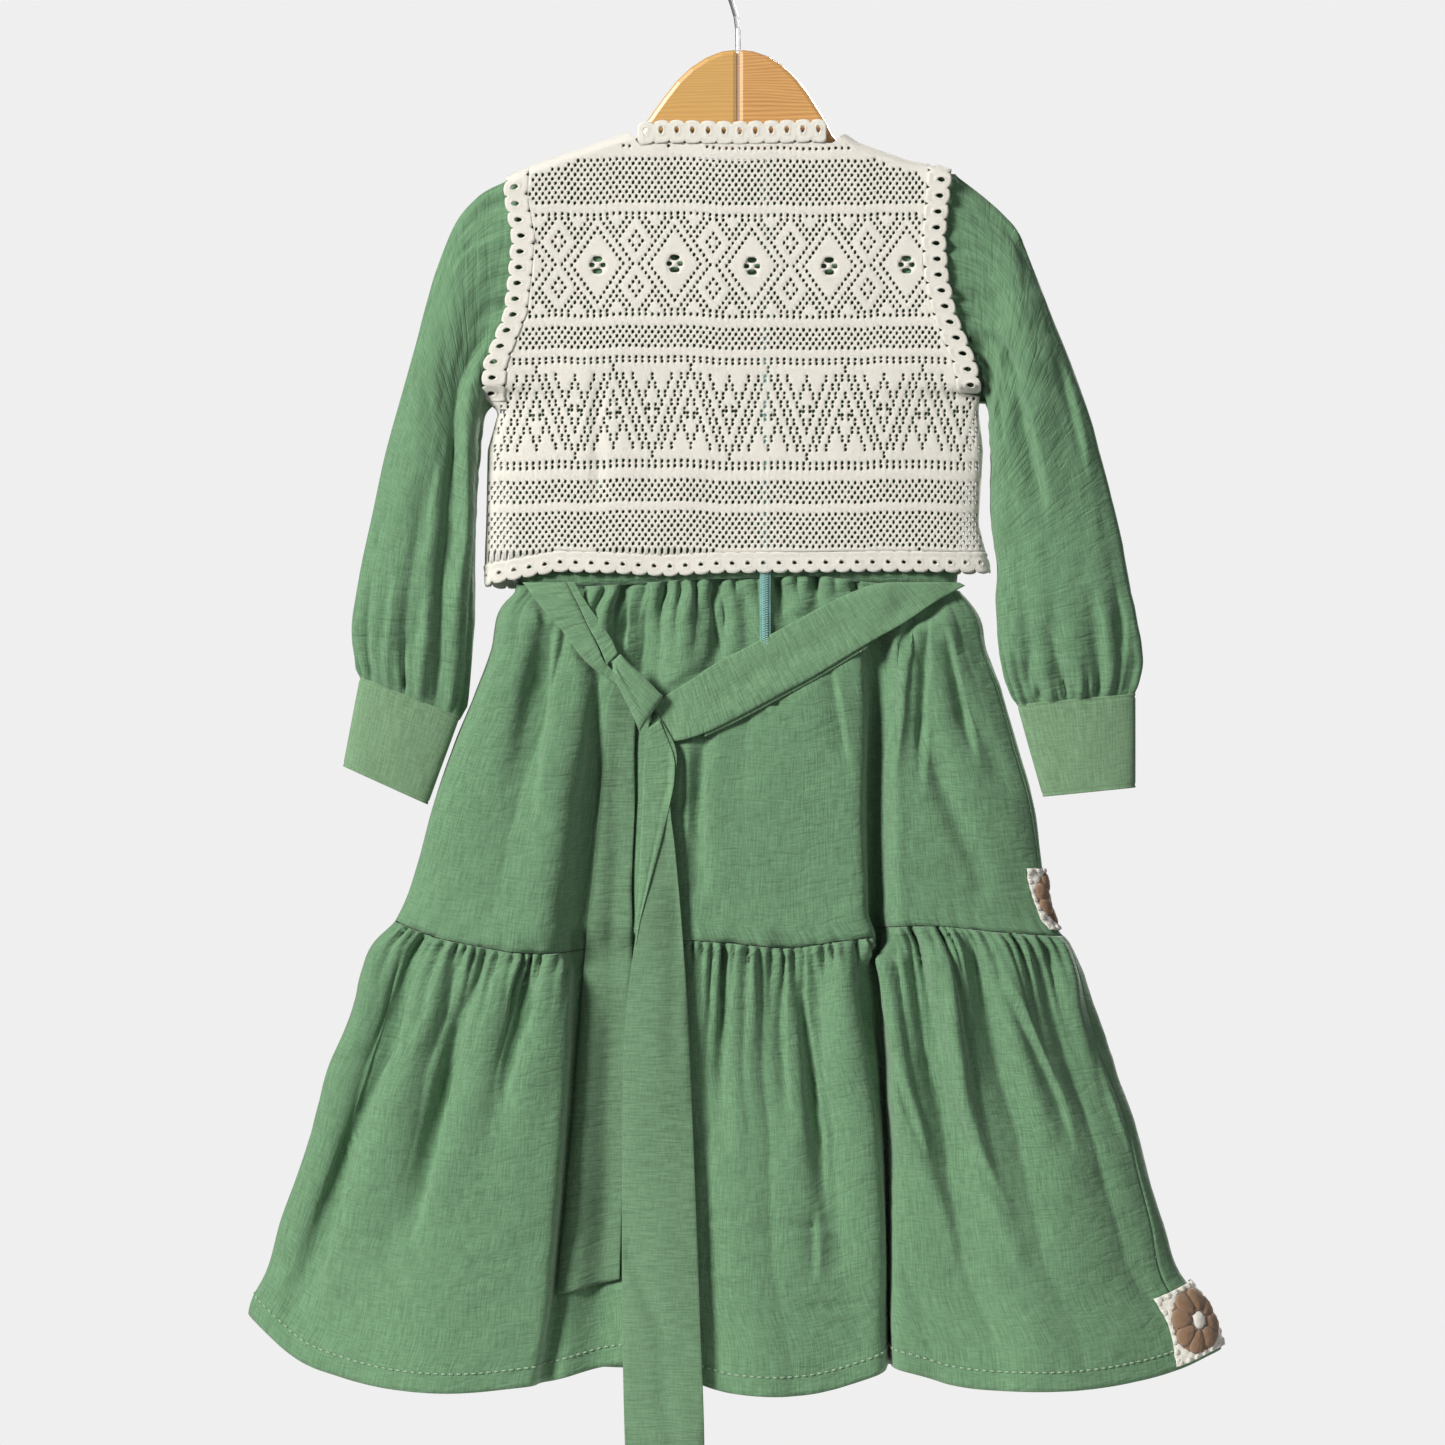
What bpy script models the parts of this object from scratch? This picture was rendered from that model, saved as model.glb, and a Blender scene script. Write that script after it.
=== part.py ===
"""Child's tiered dress with a crochet overlay, hanging on a wooden hanger.

The garment's back faces -Y. The origin is where the hook bears on its rail. Tables are in millimetres.
"""
import math
from collections import namedtuple

import bmesh
import bpy
import numpy as np

# Driving sizes in millimetres
MM = 0.001
CLOTH = 1.5            # wall of bodice, skirt and sleeves, with its nap and slubs
CROCHET = 1.6          # wall of the overlay
SASH_CLOTH = 1.8       # sash strands are sewn double
SEAM_GAP = 0.4         # clear gap between two pieces at a seam
EDGING_GAP = 1.1       # and between the overlay and its edgings
WAIST_GAP = 0.7        # and along the waist seam
EDGING = 14.3          # width of the armhole edging
NECK_EDGING = 12.5     # width of the neck edging
HEM_EDGING = 11.0      # width of the overlay's hem edging
EYELET_PITCH = 10.2    # one eyelet of the edgings to the next
WOOD = 11.0            # thickness of the hanger's arms
WOOD_ROUND = 3.0       # rounding of the arms' edges
HOOK_WIRE = 3.4        # diameter of the hook's wire
HOOK_RADIUS = 22.0     # to the middle of the wire
ZIP_X = 16.3           # centre line of the zip
ZIP_WIDTH = 7.2        # coil with the tape that shows
UNDERARM = -319.0      # height of the underarm point
ARMHOLE_FLARE = -305.0 # above this height the side edges run along the armhole
SHOULDER_RADIUS = 7.0  # of the cloth where it rounds over the hanger's arms
FOLD_FADE = 18.0       # length over which a fold runs out
CLEAR_MIDDLE = 2.0     # back and front stay this far from the garment's middle plane
BRIDGE = 24.0          # half the width over which the sash bridges the skirt's folds
GATHER_SHORT = 12.0    # length of the shortest gather
GATHER_VARIES = 26.0   # and how much longer the longest is

# Material colours and roughness
Finish = namedtuple("Finish", "name colour roughness metallic")
GREEN = Finish("green_linen", (0.150, 0.300, 0.165), 0.90, 0.0)
PALE_GREEN = Finish("pale_green_cotton", (0.215, 0.385, 0.215), 0.85, 0.0)
CREAM = Finish("cream_crochet", (0.780, 0.735, 0.640), 0.92, 0.0)
BROWN = Finish("brown_crochet", (0.330, 0.190, 0.110), 0.92, 0.0)
PALE_WOOD = Finish("pale_wood", (0.720, 0.450, 0.190), 0.45, 0.0)
RED_WOOD = Finish("reddish_wood", (0.620, 0.340, 0.150), 0.45, 0.0)
STEEL = Finish("bright_wire", (0.620, 0.610, 0.600), 0.25, 1.0)
TEAL = Finish("teal_zip", (0.130, 0.370, 0.290), 0.55, 0.0)

# Skirt outline, depth of its back and front from the middle plane, and how far each side seam lies
# round on the back, a row per level
Level = namedtuple("Level", "z left right back front seam_left seam_right")
SKIRT = [
    Level(-437, -146, 141, 15, 15, 0, 0),
    Level(-443, -146, 142, 15, 15, 0, 1),
    Level(-452, -153, 149, 17, 17, 0, 2),
    Level(-484, -161, 159, 20, 20, 0, 4),
    Level(-504, -169, 167, 22, 22, 0, 5),
    Level(-546, -186, 180, 25, 24, 0, 7),
    Level(-579, -198, 190, 27, 26, 0, 8),
    Level(-619, -209, 196, 29, 28, 0, 7),
    Level(-650, -220, 200, 30, 29, 0, 3),
    Level(-659, -225, 203, 31, 30, 0, 3),
    Level(-670, -235, 212, 32, 31, 0, 4),
    Level(-690, -244, 220, 34, 33, 0, 6),
    Level(-713, -250, 226, 35, 34, 0, 8),
    Level(-755, -268, 240, 37, 36, 0, 10),
    Level(-790, -277, 254, 38, 37, 0, 13),
    Level(-821, -287, 263, 39, 38, 0, 16),
    Level(-851, -298, 273, 40, 39, 0, 20),
    Level(-888, -309, 286, 41, 40, 0, 25),
    Level(-903, -317, 298, 41, 40, 0, 28),
    Level(-935, -319, 311, 42, 40, 0, 32),
    Level(-965, -312, 312, 42, 40, 0, 32),
]

# Heights of the waist seam, the tier seam and the hem, a row per share of the width
Line = namedtuple("Line", "share waist tier hem front_waist front_tier front_hem")
LINES = [
    Line(0.00, -439, -657, -912, -439, -657, -912),
    Line(0.05, -441, -666, -939, -440, -662, -932),
    Line(0.10, -441, -671, -951, -441, -666, -944),
    Line(0.20, -440, -678, -960, -441, -668, -952),
    Line(0.30, -438, -675, -955, -440, -667, -950),
    Line(0.40, -436, -669, -943, -439, -666, -953),
    Line(0.50, -435, -671, -960, -438, -668, -956),
    Line(0.60, -434, -674, -958, -438, -668, -953),
    Line(0.66, -433, -669, -943, -439, -667, -950),
    Line(0.72, -435, -662, -955, -440, -666, -952),
    Line(0.80, -438, -660, -959, -441, -665, -954),
    Line(0.90, -440, -664, -955, -442, -665, -950),
    Line(0.96, -442, -666, -946, -443, -666, -943),
    Line(1.00, -443, -667, -935, -443, -667, -935),
]

# Large folds, a row per fold: three points down its line, its depth into the skirt at each, and its
# reach to the left and to the right. A negative depth is a ridge
Fold = namedtuple("Fold", "x1 z1 x2 z2 x3 z3 depth1 depth2 depth3 reach_left reach_right")
BACK_FOLDS = [
    Fold(-126, -450, -132, -502, -144, -561, 3, 6, 2, 8, 9),
    Fold(-110, -485, -112, -510, -113, -530, 2, 4, 1, 9, 9),
    Fold(-93, -490, -92, -560, -100, -676, 7, 14, 12, 12, 9),
    Fold(-71, -441, -75, -465, -76, -490, 4, 5, 3, 6, 9),
    Fold(-61, -470, -60, -490, -58, -512, 3, 6, 3, 14, 14),
    Fold(-31, -437, -27, -460, -29, -480, 3, 4, 2, 6, 6),
    Fold(-14, -438, -10, -458, -18, -495, 5, 8, 3, 7, 6),
    Fold(3, -438, 5, -455, 7, -475, 3, 4, 2, 6, 6),
    Fold(26, -438, 28, -455, 30, -470, 4, 4, 2, 6, 6),
    Fold(47, -436, 49, -450, 50, -462, 4, 4, 2, 6, 6),
    Fold(-23, -530, -27, -580, -27, -632, 3, 8, 4, 9, 6),
    Fold(87, -462, 87, -560, 87, -668, 6, 27, 24, 11, 10),
    Fold(111, -460, 109, -500, 108, -545, 4, 5, 2, 5, 5),
    Fold(122, -452, 123, -545, 156, -632, 4, 6, 3, 7, 9),
    Fold(135, -490, 149, -526, 165, -558, 3, 5, 2, 8, 8),
    Fold(101, -480, 98, -530, 99, -660, -4, -6, -4, 7, 8),
    Fold(-207, -675, -228, -748, -288, -905, 8, 12, 3, 9, 10),
    Fold(-164, -686, -186, -762, -210, -850, 7, 9, 3, 10, 11),
    Fold(-136, -684, -140, -725, -156, -785, 6, 7, 2, 8, 9),
    Fold(-104, -676, -113, -760, -122, -975, 10, 16, 18, 12, 9),
    Fold(-76, -680, -78, -800, -76, -975, 4, 12, 20, 20, 22),
    Fold(-7, -680, -9, -725, -13, -790, 5, 6, 2, 8, 8),
    Fold(28, -676, 29, -720, 30, -790, 5, 6, 2, 7, 7),
    Fold(39, -680, 45, -730, 58, -870, 5, 8, 3, 8, 10),
    Fold(85, -668, 94, -774, 98, -975, 22, 28, 32, 11, 13),
    Fold(96, -725, 112, -785, 136, -860, -3, -6, -2, 6, 6),
    Fold(130, -684, 139, -772, 178, -870, -5, -7, -2, 7, 8),
    Fold(162, -678, 178, -730, 198, -790, -4, -6, -2, 8, 8),
    Fold(-205, -760, -200, -870, -198, -975, -1, -8, -13, 55, 60),
    Fold(8, -760, 10, -870, 11, -975, -1, -8, -13, 45, 45),
    Fold(190, -760, 195, -870, 200, -975, -1, -8, -13, 50, 60),
]
FRONT_FOLDS = [
    Fold(-112, -450, -120, -540, -131, -650, 4, 9, 6, 10, 10),
    Fold(-70, -446, -72, -500, -78, -570, 4, 6, 2, 9, 9),
    Fold(-22, -446, -26, -545, -30, -660, 5, 12, 9, 10, 11),
    Fold(36, -446, 42, -520, 47, -600, 4, 7, 3, 9, 9),
    Fold(92, -448, 104, -550, 118, -655, 5, 11, 8, 10, 10),
    Fold(-176, -676, -204, -800, -236, -970, 7, 13, 14, 11, 13),
    Fold(-98, -676, -112, -800, -128, -970, 7, 15, 19, 12, 14),
    Fold(-40, -678, -42, -740, -46, -830, 5, 8, 3, 10, 10),
    Fold(6, -678, 8, -800, 6, -970, 6, 14, 18, 12, 12),
    Fold(70, -678, 78, -750, 90, -850, 5, 9, 3, 10, 10),
    Fold(124, -676, 142, -800, 158, -970, 7, 16, 20, 12, 13),
    Fold(176, -676, 192, -740, 212, -830, 5, 8, 3, 10, 10),
    Fold(-180, -770, -182, -870, -184, -975, -1, -7, -11, 50, 50),
    Fold(-58, -770, -60, -870, -62, -975, -1, -7, -11, 45, 45),
    Fold(78, -770, 80, -870, 82, -975, -1, -7, -11, 45, 45),
    Fold(208, -770, 214, -870, 220, -975, -1, -7, -11, 45, 50),
]

# Bodice and overlay outlines with their depth; the edging column is the width that a separate edging
# takes up at that level
Torso = namedtuple("Torso", "z left right depth edging")
BODICE = [
    Torso(-140, -141, 128, 9.0, 0),
    Torso(-178, -141, 127, 9.5, 0),
    Torso(-205, -139, 124, 10.5, 0),
    Torso(-235, -138, 124, 11.5, 0),
    Torso(-262, -143, 130, 12.0, 0),
    Torso(-290, -150, 142, 13.0, 0),
    Torso(-320, -152, 150, 13.0, 0),
    Torso(-352, -152, 148, 13.5, 0),
    Torso(-400, -149, 144, 14.5, 0),
    Torso(-437, -146, 141, 15.0, 0),
    Torso(-446, -146, 141, 15.0, 0),
]
OVERLAY = [
    Torso(-138, -151, 136, 14.0, EDGING),
    Torso(-174, -151, 136, 15.0, EDGING),
    Torso(-187, -152, 134.7, 15.6, EDGING),
    Torso(-214, -147, 132, 16.3, EDGING),
    Torso(-239.4, -149, 133.8, 16.7, EDGING),
    Torso(-264, -152, 139, 17.0, EDGING),
    Torso(-296, -165, 152, 17.3, EDGING),
    Torso(-318.5, -167, 156, 17.4, EDGING),
    Torso(-327, -157, 155, 17.5, 0),
    Torso(-352, -164, 158, 17.8, 0),
    Torso(-400, -165, 155, 18.4, 0),
    Torso(-423, -166, 161, 18.8, 0),
    Torso(-436, -166, 164, 19.0, 0),
]

# Top edges: height of the back's and the front's edge, and 1 where the cloth closes over the shoulder
Top = namedtuple("Top", "x back front closed")
BODICE_TOP = [
    Top(-142, -176.2, -176.2, 1), Top(-134, -171.6, -171.6, 1), Top(-101, -158.8, -158.8, 1),
    Top(-76, -149.6, -149.6, 1), Top(-71, -153, -157, 0), Top(-50, -172, -195, 0),
    Top(0, -184, -212, 0), Top(50, -172, -195, 0), Top(65, -153, -157, 0),
    Top(70, -150.6, -150.6, 1), Top(77, -155.8, -155.8, 1), Top(110, -167.6, -167.6, 1),
    Top(128, -171.6, -171.6, 1),
]
OVERLAY_TOP = [
    Top(-152, -174.0, -174.0, 1), Top(-134, -166.4, -166.4, 1), Top(-101, -154.6, -154.6, 1),
    Top(-73, -145.2, -145.2, 1), Top(-65, -141.0, -152, 0), Top(-48, -139.5, -172, 0),
    Top(0, -140.5, -205, 0), Top(48, -139.0, -172, 0), Top(60, -140.0, -152, 0),
    Top(68, -146.0, -146.0, 1), Top(77, -152.0, -152.0, 1), Top(110, -163.6, -163.6, 1),
    Top(137, -168.6, -168.6, 1),
]

# Rings down each sleeve: its outer and inner ends and half its depth. The first follows the armhole
Ring = namedtuple("Ring", "outer_x outer_z inner_x inner_z depth")
LEFT_SLEEVE = [
    Ring(-152, -179, -158, -320, 10), Ring(-162, -182, -164, -324, 11),
    Ring(-172, -189, -168, -330, 12), Ring(-184, -203, -170, -336, 14),
    Ring(-194, -226, -171, -343, 16), Ring(-203, -254, -172, -352, 17),
    Ring(-211, -284, -173, -365, 18), Ring(-220, -316, -174, -380, 18),
    Ring(-230, -352, -174, -398, 18), Ring(-237, -384, -174, -418, 18),
    Ring(-250, -449, -174, -458, 18), Ring(-252, -475, -175, -492, 15),
    Ring(-247, -498, -181, -524, 9),
]
RIGHT_SLEEVE = [
    Ring(138, -175, 155, -320, 10), Ring(148, -180, 159, -322, 11),
    Ring(161, -190, 161, -326, 12), Ring(172, -200, 162, -331, 14),
    Ring(181, -211, 162, -338, 16), Ring(191, -235, 162, -350, 17),
    Ring(203, -266, 162, -364, 18), Ring(216, -298, 162, -380, 18),
    Ring(228, -333, 163, -400, 18), Ring(240, -379, 166, -425, 18),
    Ring(250, -423, 166, -452, 18), Ring(258, -468, 169, -482, 17),
    Ring(261, -490, 172, -500, 14), Ring(257, -509, 179, -516, 9),
]
LEFT_CUFF = [Ring(-247, -499, -181.5, -525, 9), Ring(-258, -557, -203, -582, 9)]
RIGHT_CUFF = [Ring(257, -510, 179.5, -517, 9), Ring(257, -571, 197, -577, 9)]

# Sash strips: their two edges at each row, and the lift of the underside off the skirt
Strip = namedtuple("Strip", "x_a z_a x_b z_b lift")
STRAND_RIGHT = [
    Strip(146, -440, 142, -438, -0.4), Strip(126, -451, 113, -438, 0.6),
    Strip(105, -465, 88, -439, 0.3), Strip(82, -478, 62, -449, -0.1),
    Strip(49, -498, 34, -464, 0.4), Strip(25, -511, 8, -478, 1.0),
    Strip(-1, -525, -15, -490, 1.0), Strip(-24, -536, -33, -502, 1.0),
    Strip(-42, -541, -49, -512, 1.0), Strip(-52, -540, -56, -519, 1.0),
]
STRAND_LEFT = [
    Strip(-141, -438, -112, -438, -0.4), Strip(-128, -455, -105, -452, -0.6),
    Strip(-114, -471, -98, -467, -0.4), Strip(-103, -486, -92, -479, 0.2),
    Strip(-92, -496, -87, -490, 0.8), Strip(-78, -505, -77, -499, 1.6),
]
STRAND_NARROW = [
    Strip(-112, -438, -107, -438, 3.0), Strip(-104, -454, -98, -453, 2.8),
    Strip(-98, -467, -90, -464, 2.8), Strip(-91, -480, -83, -475, 3.0),
    Strip(-86, -492, -79, -484, 3.6),
]
TAIL_SHORT = [
    Strip(-83, -516, -70, -516, 0.3), Strip(-88, -543, -68, -543, 0.2),
    Strip(-91, -579, -68, -579, 0.2), Strip(-96, -630, -70, -630, 0.0),
    Strip(-101, -683, -70, -683, 0.4), Strip(-110, -800, -75, -798, 0.4),
    Strip(-119, -899, -78, -889, 0.4),
]
TAIL_LONG = [
    Strip(-59, -530, -54, -522, 3.2), Strip(-62, -552, -41, -548, 3.4),
    Strip(-63, -579, -45, -580, 3.6), Strip(-64, -610, -42, -610, 3.8),
    Strip(-66, -654, -38, -654, 4.0), Strip(-73, -709, -34, -709, 4.0),
    Strip(-76, -774, -31, -774, 4.0), Strip(-76, -904, -26, -904, 4.0),
    Strip(-74, -998, -23, -998, 4.0), Strip(-71, -1036, -27, -1032, 4.0),
]

# Knot of the sash: middle, half width and half depth of each ring down its wrap
Wrap = namedtuple("Wrap", "x z half_width half_depth")
KNOT = [
    Wrap(-78, -488, 3, 2), Wrap(-74, -496, 10, 5), Wrap(-67, -508, 16, 7),
    Wrap(-63, -520, 14, 7), Wrap(-62, -529, 7, 5), Wrap(-62, -536, 2, 2),
]
KNOT_LIFT = 7.4

# Outline of the hanger's left arm, and of its right one, along the top and then the underside
Corner = namedtuple("Corner", "x z")
LEFT_ARM = [
    Corner(-1.5, -91.7), Corner(-12, -93), Corner(-22, -97), Corner(-32, -103.5), Corner(-41, -112),
    Corner(-50, -123.5), Corner(-60, -137.5), Corner(-65, -147), Corner(-75, -157),
    Corner(-101, -165), Corner(-126, -174.5), Corner(-137, -180), Corner(-138, -188),
    Corner(-128, -193), Corner(-101, -184), Corner(-70, -175), Corner(-35, -163), Corner(-1.5, -158),
]
RIGHT_ARM = [
    Corner(-1.1, -91.7), Corner(9, -93), Corner(19, -96.5), Corner(28, -102), Corner(37, -110.5),
    Corner(45, -121), Corner(55, -137), Corner(60, -147), Corner(69, -158),
    Corner(78, -162), Corner(110, -173.5), Corner(122, -179), Corner(124, -186),
    Corner(115, -191), Corner(92, -183), Corner(64, -174), Corner(32, -163), Corner(-1.1, -158),
]

# Crochet flowers of the overlay's back
FLOWER_X = (-92.3, -41.6, 9.1, 57.9, 107.3)
FLOWER_HOLE_WIDTH = 6.6
FLOWER_ROW = 1         # row of levels where a flower's upper opening starts

# Rows and openings of the torso's panels and edgings
DROPS = (0, 2.5, 6, 13)        # rows below a top edge, close together where it rounds over the hanger
TRIM_CLOSING = 10.0            # the overlay closes at its sides over this height at the underarm
BODICE_CLOSING = 40.0
OPEN_LEFT, OPEN_RIGHT = -30.0, 28.0
EYELET_WIDTH = 3.6
EYELET_ROWS = (3.0, 8.4)       # an eyelet's two ends across an edging
ARMHOLE_START, ARMHOLE_END = 7.0, 136.0
ARMHOLE_EYELETS = 12
NECK_EYELETS = 11
CUFF_COLUMNS = 16
ARMHOLE_LEVELS = 5             # levels of the bodice's edge that lie on the armhole
SLEEVE_GATHER = 1.6
UPPER_GATHER = 1.3
LOWER_GATHER = 1.8
CUFF_WALL = 2.0                # cuffs are doubled
PATCH_ROWS = 3
ZIP_WALL = 0.9
ZIP_END = -469.0

# Lower edge of the overlay at the back and at the fronts
HemSpot = namedtuple("HemSpot", "x back front")
HEM_LINE = [
    HemSpot(-167, -439, -439), HemSpot(-152, -436, -441), HemSpot(-118, -430, -436),
    HemSpot(-84, -431, -434), HemSpot(-48, -433, -434), HemSpot(-13, -431, -434),
    HemSpot(97, -430, -433), HemSpot(164, -430.5, -430.5),
]


def clear_scene():
    for thing in list(bpy.data.objects):
        bpy.data.objects.remove(thing, do_unlink=True)


def read(table, key, name, where):
    """Value of a column at places along the key column, on a smooth curve through the rows."""
    keys = np.array([getattr(row, key) for row in table], float)
    values = np.array([getattr(row, name) for row in table], float)
    if keys[0] > keys[-1]:
        keys, values = keys[::-1], values[::-1]
    slopes = np.gradient(values, keys)
    place = np.clip(where, keys[0], keys[-1])
    low = np.clip(np.searchsorted(keys, place) - 1, 0, len(keys) - 2)
    span = keys[low + 1] - keys[low]
    t = (place - keys[low]) / span
    start = (1 + 2 * t) * (1 - t) ** 2 * values[low] + t * (1 - t) ** 2 * span * slopes[low]
    end = t * t * (3 - 2 * t) * values[low + 1] + t * t * (t - 1) * span * slopes[low + 1]
    return start + end


def straight(table, key, name, where):
    """Value of a column at places along the key column, on straight runs between the rows."""
    keys = np.array([getattr(row, key) for row in table], float)
    values = np.array([getattr(row, name) for row in table], float)
    order = np.argsort(keys)
    return np.interp(where, keys[order], values[order])


def ease(value):
    held = np.clip(value, 0.0, 1.0)
    return held * held * (3 - 2 * held)


def uneven(index, salt):
    """A fixed number from 0 to 1 for each index, so that repeats differ."""
    return (math.sin(index * 12.9898 + salt * 78.233) * 43758.5453) % 1.0


def bulge(share):
    """Depth of a flattened tube across its width, as a part of its largest depth."""
    return (1 - np.abs(2 * np.clip(share, 0, 1) - 1) ** 3) ** (1 / 3)


def material(finish):
    made = bpy.data.materials.get(finish.name)
    if made is None:
        made = bpy.data.materials.new(finish.name)
        made.use_nodes = True
        shader = made.node_tree.nodes["Principled BSDF"]
        shader.inputs["Base Color"].default_value = (*finish.colour, 1)
        shader.inputs["Roughness"].default_value = finish.roughness
        shader.inputs["Metallic"].default_value = finish.metallic
    return made


def add_object(name, mesh, finish):
    mesh.materials.append(material(finish))
    thing = bpy.data.objects.new(name, mesh)
    bpy.context.scene.collection.objects.link(thing)
    return thing


def add_mesh(name, points, faces, finish):
    mesh = bpy.data.meshes.new(name)
    mesh.from_pydata([tuple(float(c) * MM for c in p) for p in points], [], faces)
    work = bmesh.new()
    work.from_mesh(mesh)
    bmesh.ops.recalc_face_normals(work, faces=work.faces)
    work.to_mesh(mesh)
    work.free()
    mesh.shade_smooth()
    mesh.set_sharp_from_angle(angle=math.radians(50))
    return add_object(name, mesh, finish)


def wall(name, outer, inner, finish, holes=(), closed=False):
    """Closed wall between two grids of points, open at its holes and round where it is closed."""
    rows, columns = outer.shape[:2]
    across = columns if closed else columns - 1
    cells = {(i, j) for i in range(rows - 1) for j in range(across)} - set(holes)
    points = np.concatenate([outer.reshape(-1, 3), inner.reshape(-1, 3)])
    far = rows * columns

    def spot(i, j):
        return i * columns + j % columns

    faces = []
    for i, j in sorted(cells):
        corners = [(i, j), (i, j + 1), (i + 1, j + 1), (i + 1, j)]
        ring = [spot(*corner) for corner in corners]
        faces.append(ring)
        faces.append([far + index for index in reversed(ring)])
        beside = [(i - 1, j), (i, j + 1), (i + 1, j), (i, j - 1)]
        for side, (row, column) in enumerate(beside):
            if closed:
                column %= across
            if (row, column) in cells:
                continue
            first, second = ring[side], ring[(side + 1) % 4]
            faces.append([second, first, far + first, far + second])
    used = sorted({index for face in faces for index in face})
    place = {index: order for order, index in enumerate(used)}
    faces = [[place[index] for index in face] for face in faces]
    return add_mesh(name, points[used], faces, finish)


def folds_at(folds, x, z):
    """How far the large folds carry the cloth inward at a place."""
    total = np.zeros_like(x, float)
    for fold in folds:
        heights = np.array([-fold.z1, -fold.z2, -fold.z3], float)
        line = np.interp(-z, heights, (fold.x1, fold.x2, fold.x3))
        depth = np.interp(-z, heights, (fold.depth1, fold.depth2, fold.depth3))
        beyond = np.maximum(heights[0] + z, -z - heights[2])
        off = x - line
        reach = np.where(off < 0, fold.reach_left, fold.reach_right)
        total += depth * ease(1 - beyond / FOLD_FADE) * np.exp(-(off / reach) ** 2)
    return total


def clear_of_middle(depth):
    """Depth from the middle plane, eased so that no fold reaches through to the other side."""
    return CLEAR_MIDDLE + 3 * np.log1p(np.exp((depth - CLEAR_MIDDLE) / 3))


def tier_lines(tier, side):
    """Column names of the lines above and below a tier."""
    names = ("waist", "tier") if tier == "upper" else ("tier", "hem")
    return names if side == "back" else tuple("front_" + name for name in names)


def skirt_side(tier, side, share, down):
    """Points across one side of a tier, at a share of the way down it."""
    top, bottom = tier_lines(tier, side)
    upper = read(LINES, "share", top, share)
    lower = read(LINES, "share", bottom, share)
    if tier == "lower":
        upper = upper - SEAM_GAP
    z = upper + (lower - upper) * down
    left = read(SKIRT, "z", "left", z[share.argmin()])
    right = read(SKIRT, "z", "right", z[share.argmax()])
    x = left + (right - left) * share
    folds = BACK_FOLDS if side == "back" else FRONT_FOLDS
    full = read(SKIRT, "z", side, z) * bulge(share)
    depth = clear_of_middle(full - folds_at(folds, x, z))
    return np.stack([x, -depth if side == "back" else depth, z], axis=1)


def skirt_loop(tier, down):
    """Closed section of a tier with its outward directions, arc lengths and the back's arc length."""
    share = 0.5 - 0.5 * np.cos(np.linspace(0, math.pi, 701))
    back = skirt_side(tier, "back", share, down)
    front = skirt_side(tier, "front", share[::-1], down)
    points = np.concatenate([back, front])
    step = np.roll(points, -1, axis=0) - np.roll(points, 1, axis=0)
    length = np.maximum(np.hypot(step[:, 0], step[:, 1]), 1e-9)
    out = np.stack([step[:, 1] / length, -step[:, 0] / length, np.zeros(len(points))], axis=1)
    closed = np.concatenate([points, points[:1]])
    pieces = np.hypot(*np.diff(closed[:, :2], axis=0).T)
    arc = np.concatenate([[0], np.cumsum(pieces)])
    return closed, np.concatenate([out, out[:1]]), arc, arc[len(back) - 1]


def along_loop(loop, where):
    """Points and outward directions at arc lengths round a section."""
    points, out, arc, _ = loop
    place = np.mod(where, arc[-1])
    found = np.stack([np.interp(place, arc, points[:, k]) for k in range(3)], axis=1)
    facing = np.stack([np.interp(place, arc, out[:, k]) for k in range(3)], axis=1)
    facing /= np.linalg.norm(facing, axis=1)[:, None]
    return found, facing


def gather(column, distance, height, salt):
    """Height of a gather at a distance from its seam: ridges on even columns, valleys on odd ones."""
    reach = GATHER_SHORT + GATHER_VARIES * uneven(column, salt)
    size = height * (0.55 + 0.45 * uneven(column, salt + 1))
    return size * (1 if column % 2 else -1) * math.exp(-((distance / reach) ** 2))


def skirt_grid(tier, side, rows, columns, height):
    """Outer points and outward directions of a tier's back or front."""
    points = np.zeros((rows + 1, columns + 1, 3))
    facing = np.zeros_like(points)
    for i in range(rows + 1):
        loop = skirt_loop(tier, (i / rows) ** 1.25)
        edge_z = loop[0][0, 2]
        seam_left = float(read(SKIRT, "z", "seam_left", edge_z))
        seam_right = float(read(SKIRT, "z", "seam_right", edge_z))
        across_back, around = loop[3], loop[2][-1]
        if side == "back":
            start, end = seam_left, across_back - seam_right
        else:
            start, end = across_back - seam_right + SEAM_GAP, around + seam_left - SEAM_GAP
        points[i], facing[i] = along_loop(loop, np.linspace(start, end, columns + 1))
        for j in range(1, columns):
            lift = gather(j, points[0, j, 2] - points[i, j, 2], height, rows + columns)
            points[i, j] += facing[i, j] * lift
    return points, facing


def skirt_panel(name, grid):
    points, facing = grid
    return wall(name, points, points - facing * CLOTH, GREEN)


def make_patch(name, grid, row_from, row_to, columns, lift):
    """Crocheted square at the start of a panel, made from the panel's own points moved out."""
    places = np.linspace(row_from, row_to, PATCH_ROWS + 1)
    low = np.minimum(places.astype(int), grid[0].shape[0] - 2)
    part = (places - low)[:, None, None]
    points, facing = (
        values[low, :columns + 1] * (1 - part) + values[low + 1, :columns + 1] * part for values in grid
    )
    return wall(name, points + facing * (lift + CROCHET), points + facing * lift, BROWN)


def skirt_depth(x, z):
    """Distance of the skirt's back from the middle plane, for pieces that lie on it."""
    left, right = read(SKIRT, "z", "left", z), read(SKIRT, "z", "right", z)
    share = (x - left) / (right - left)
    full = read(SKIRT, "z", "back", z) * bulge(share)
    return clear_of_middle(full - folds_at(BACK_FOLDS, x, z))


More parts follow.
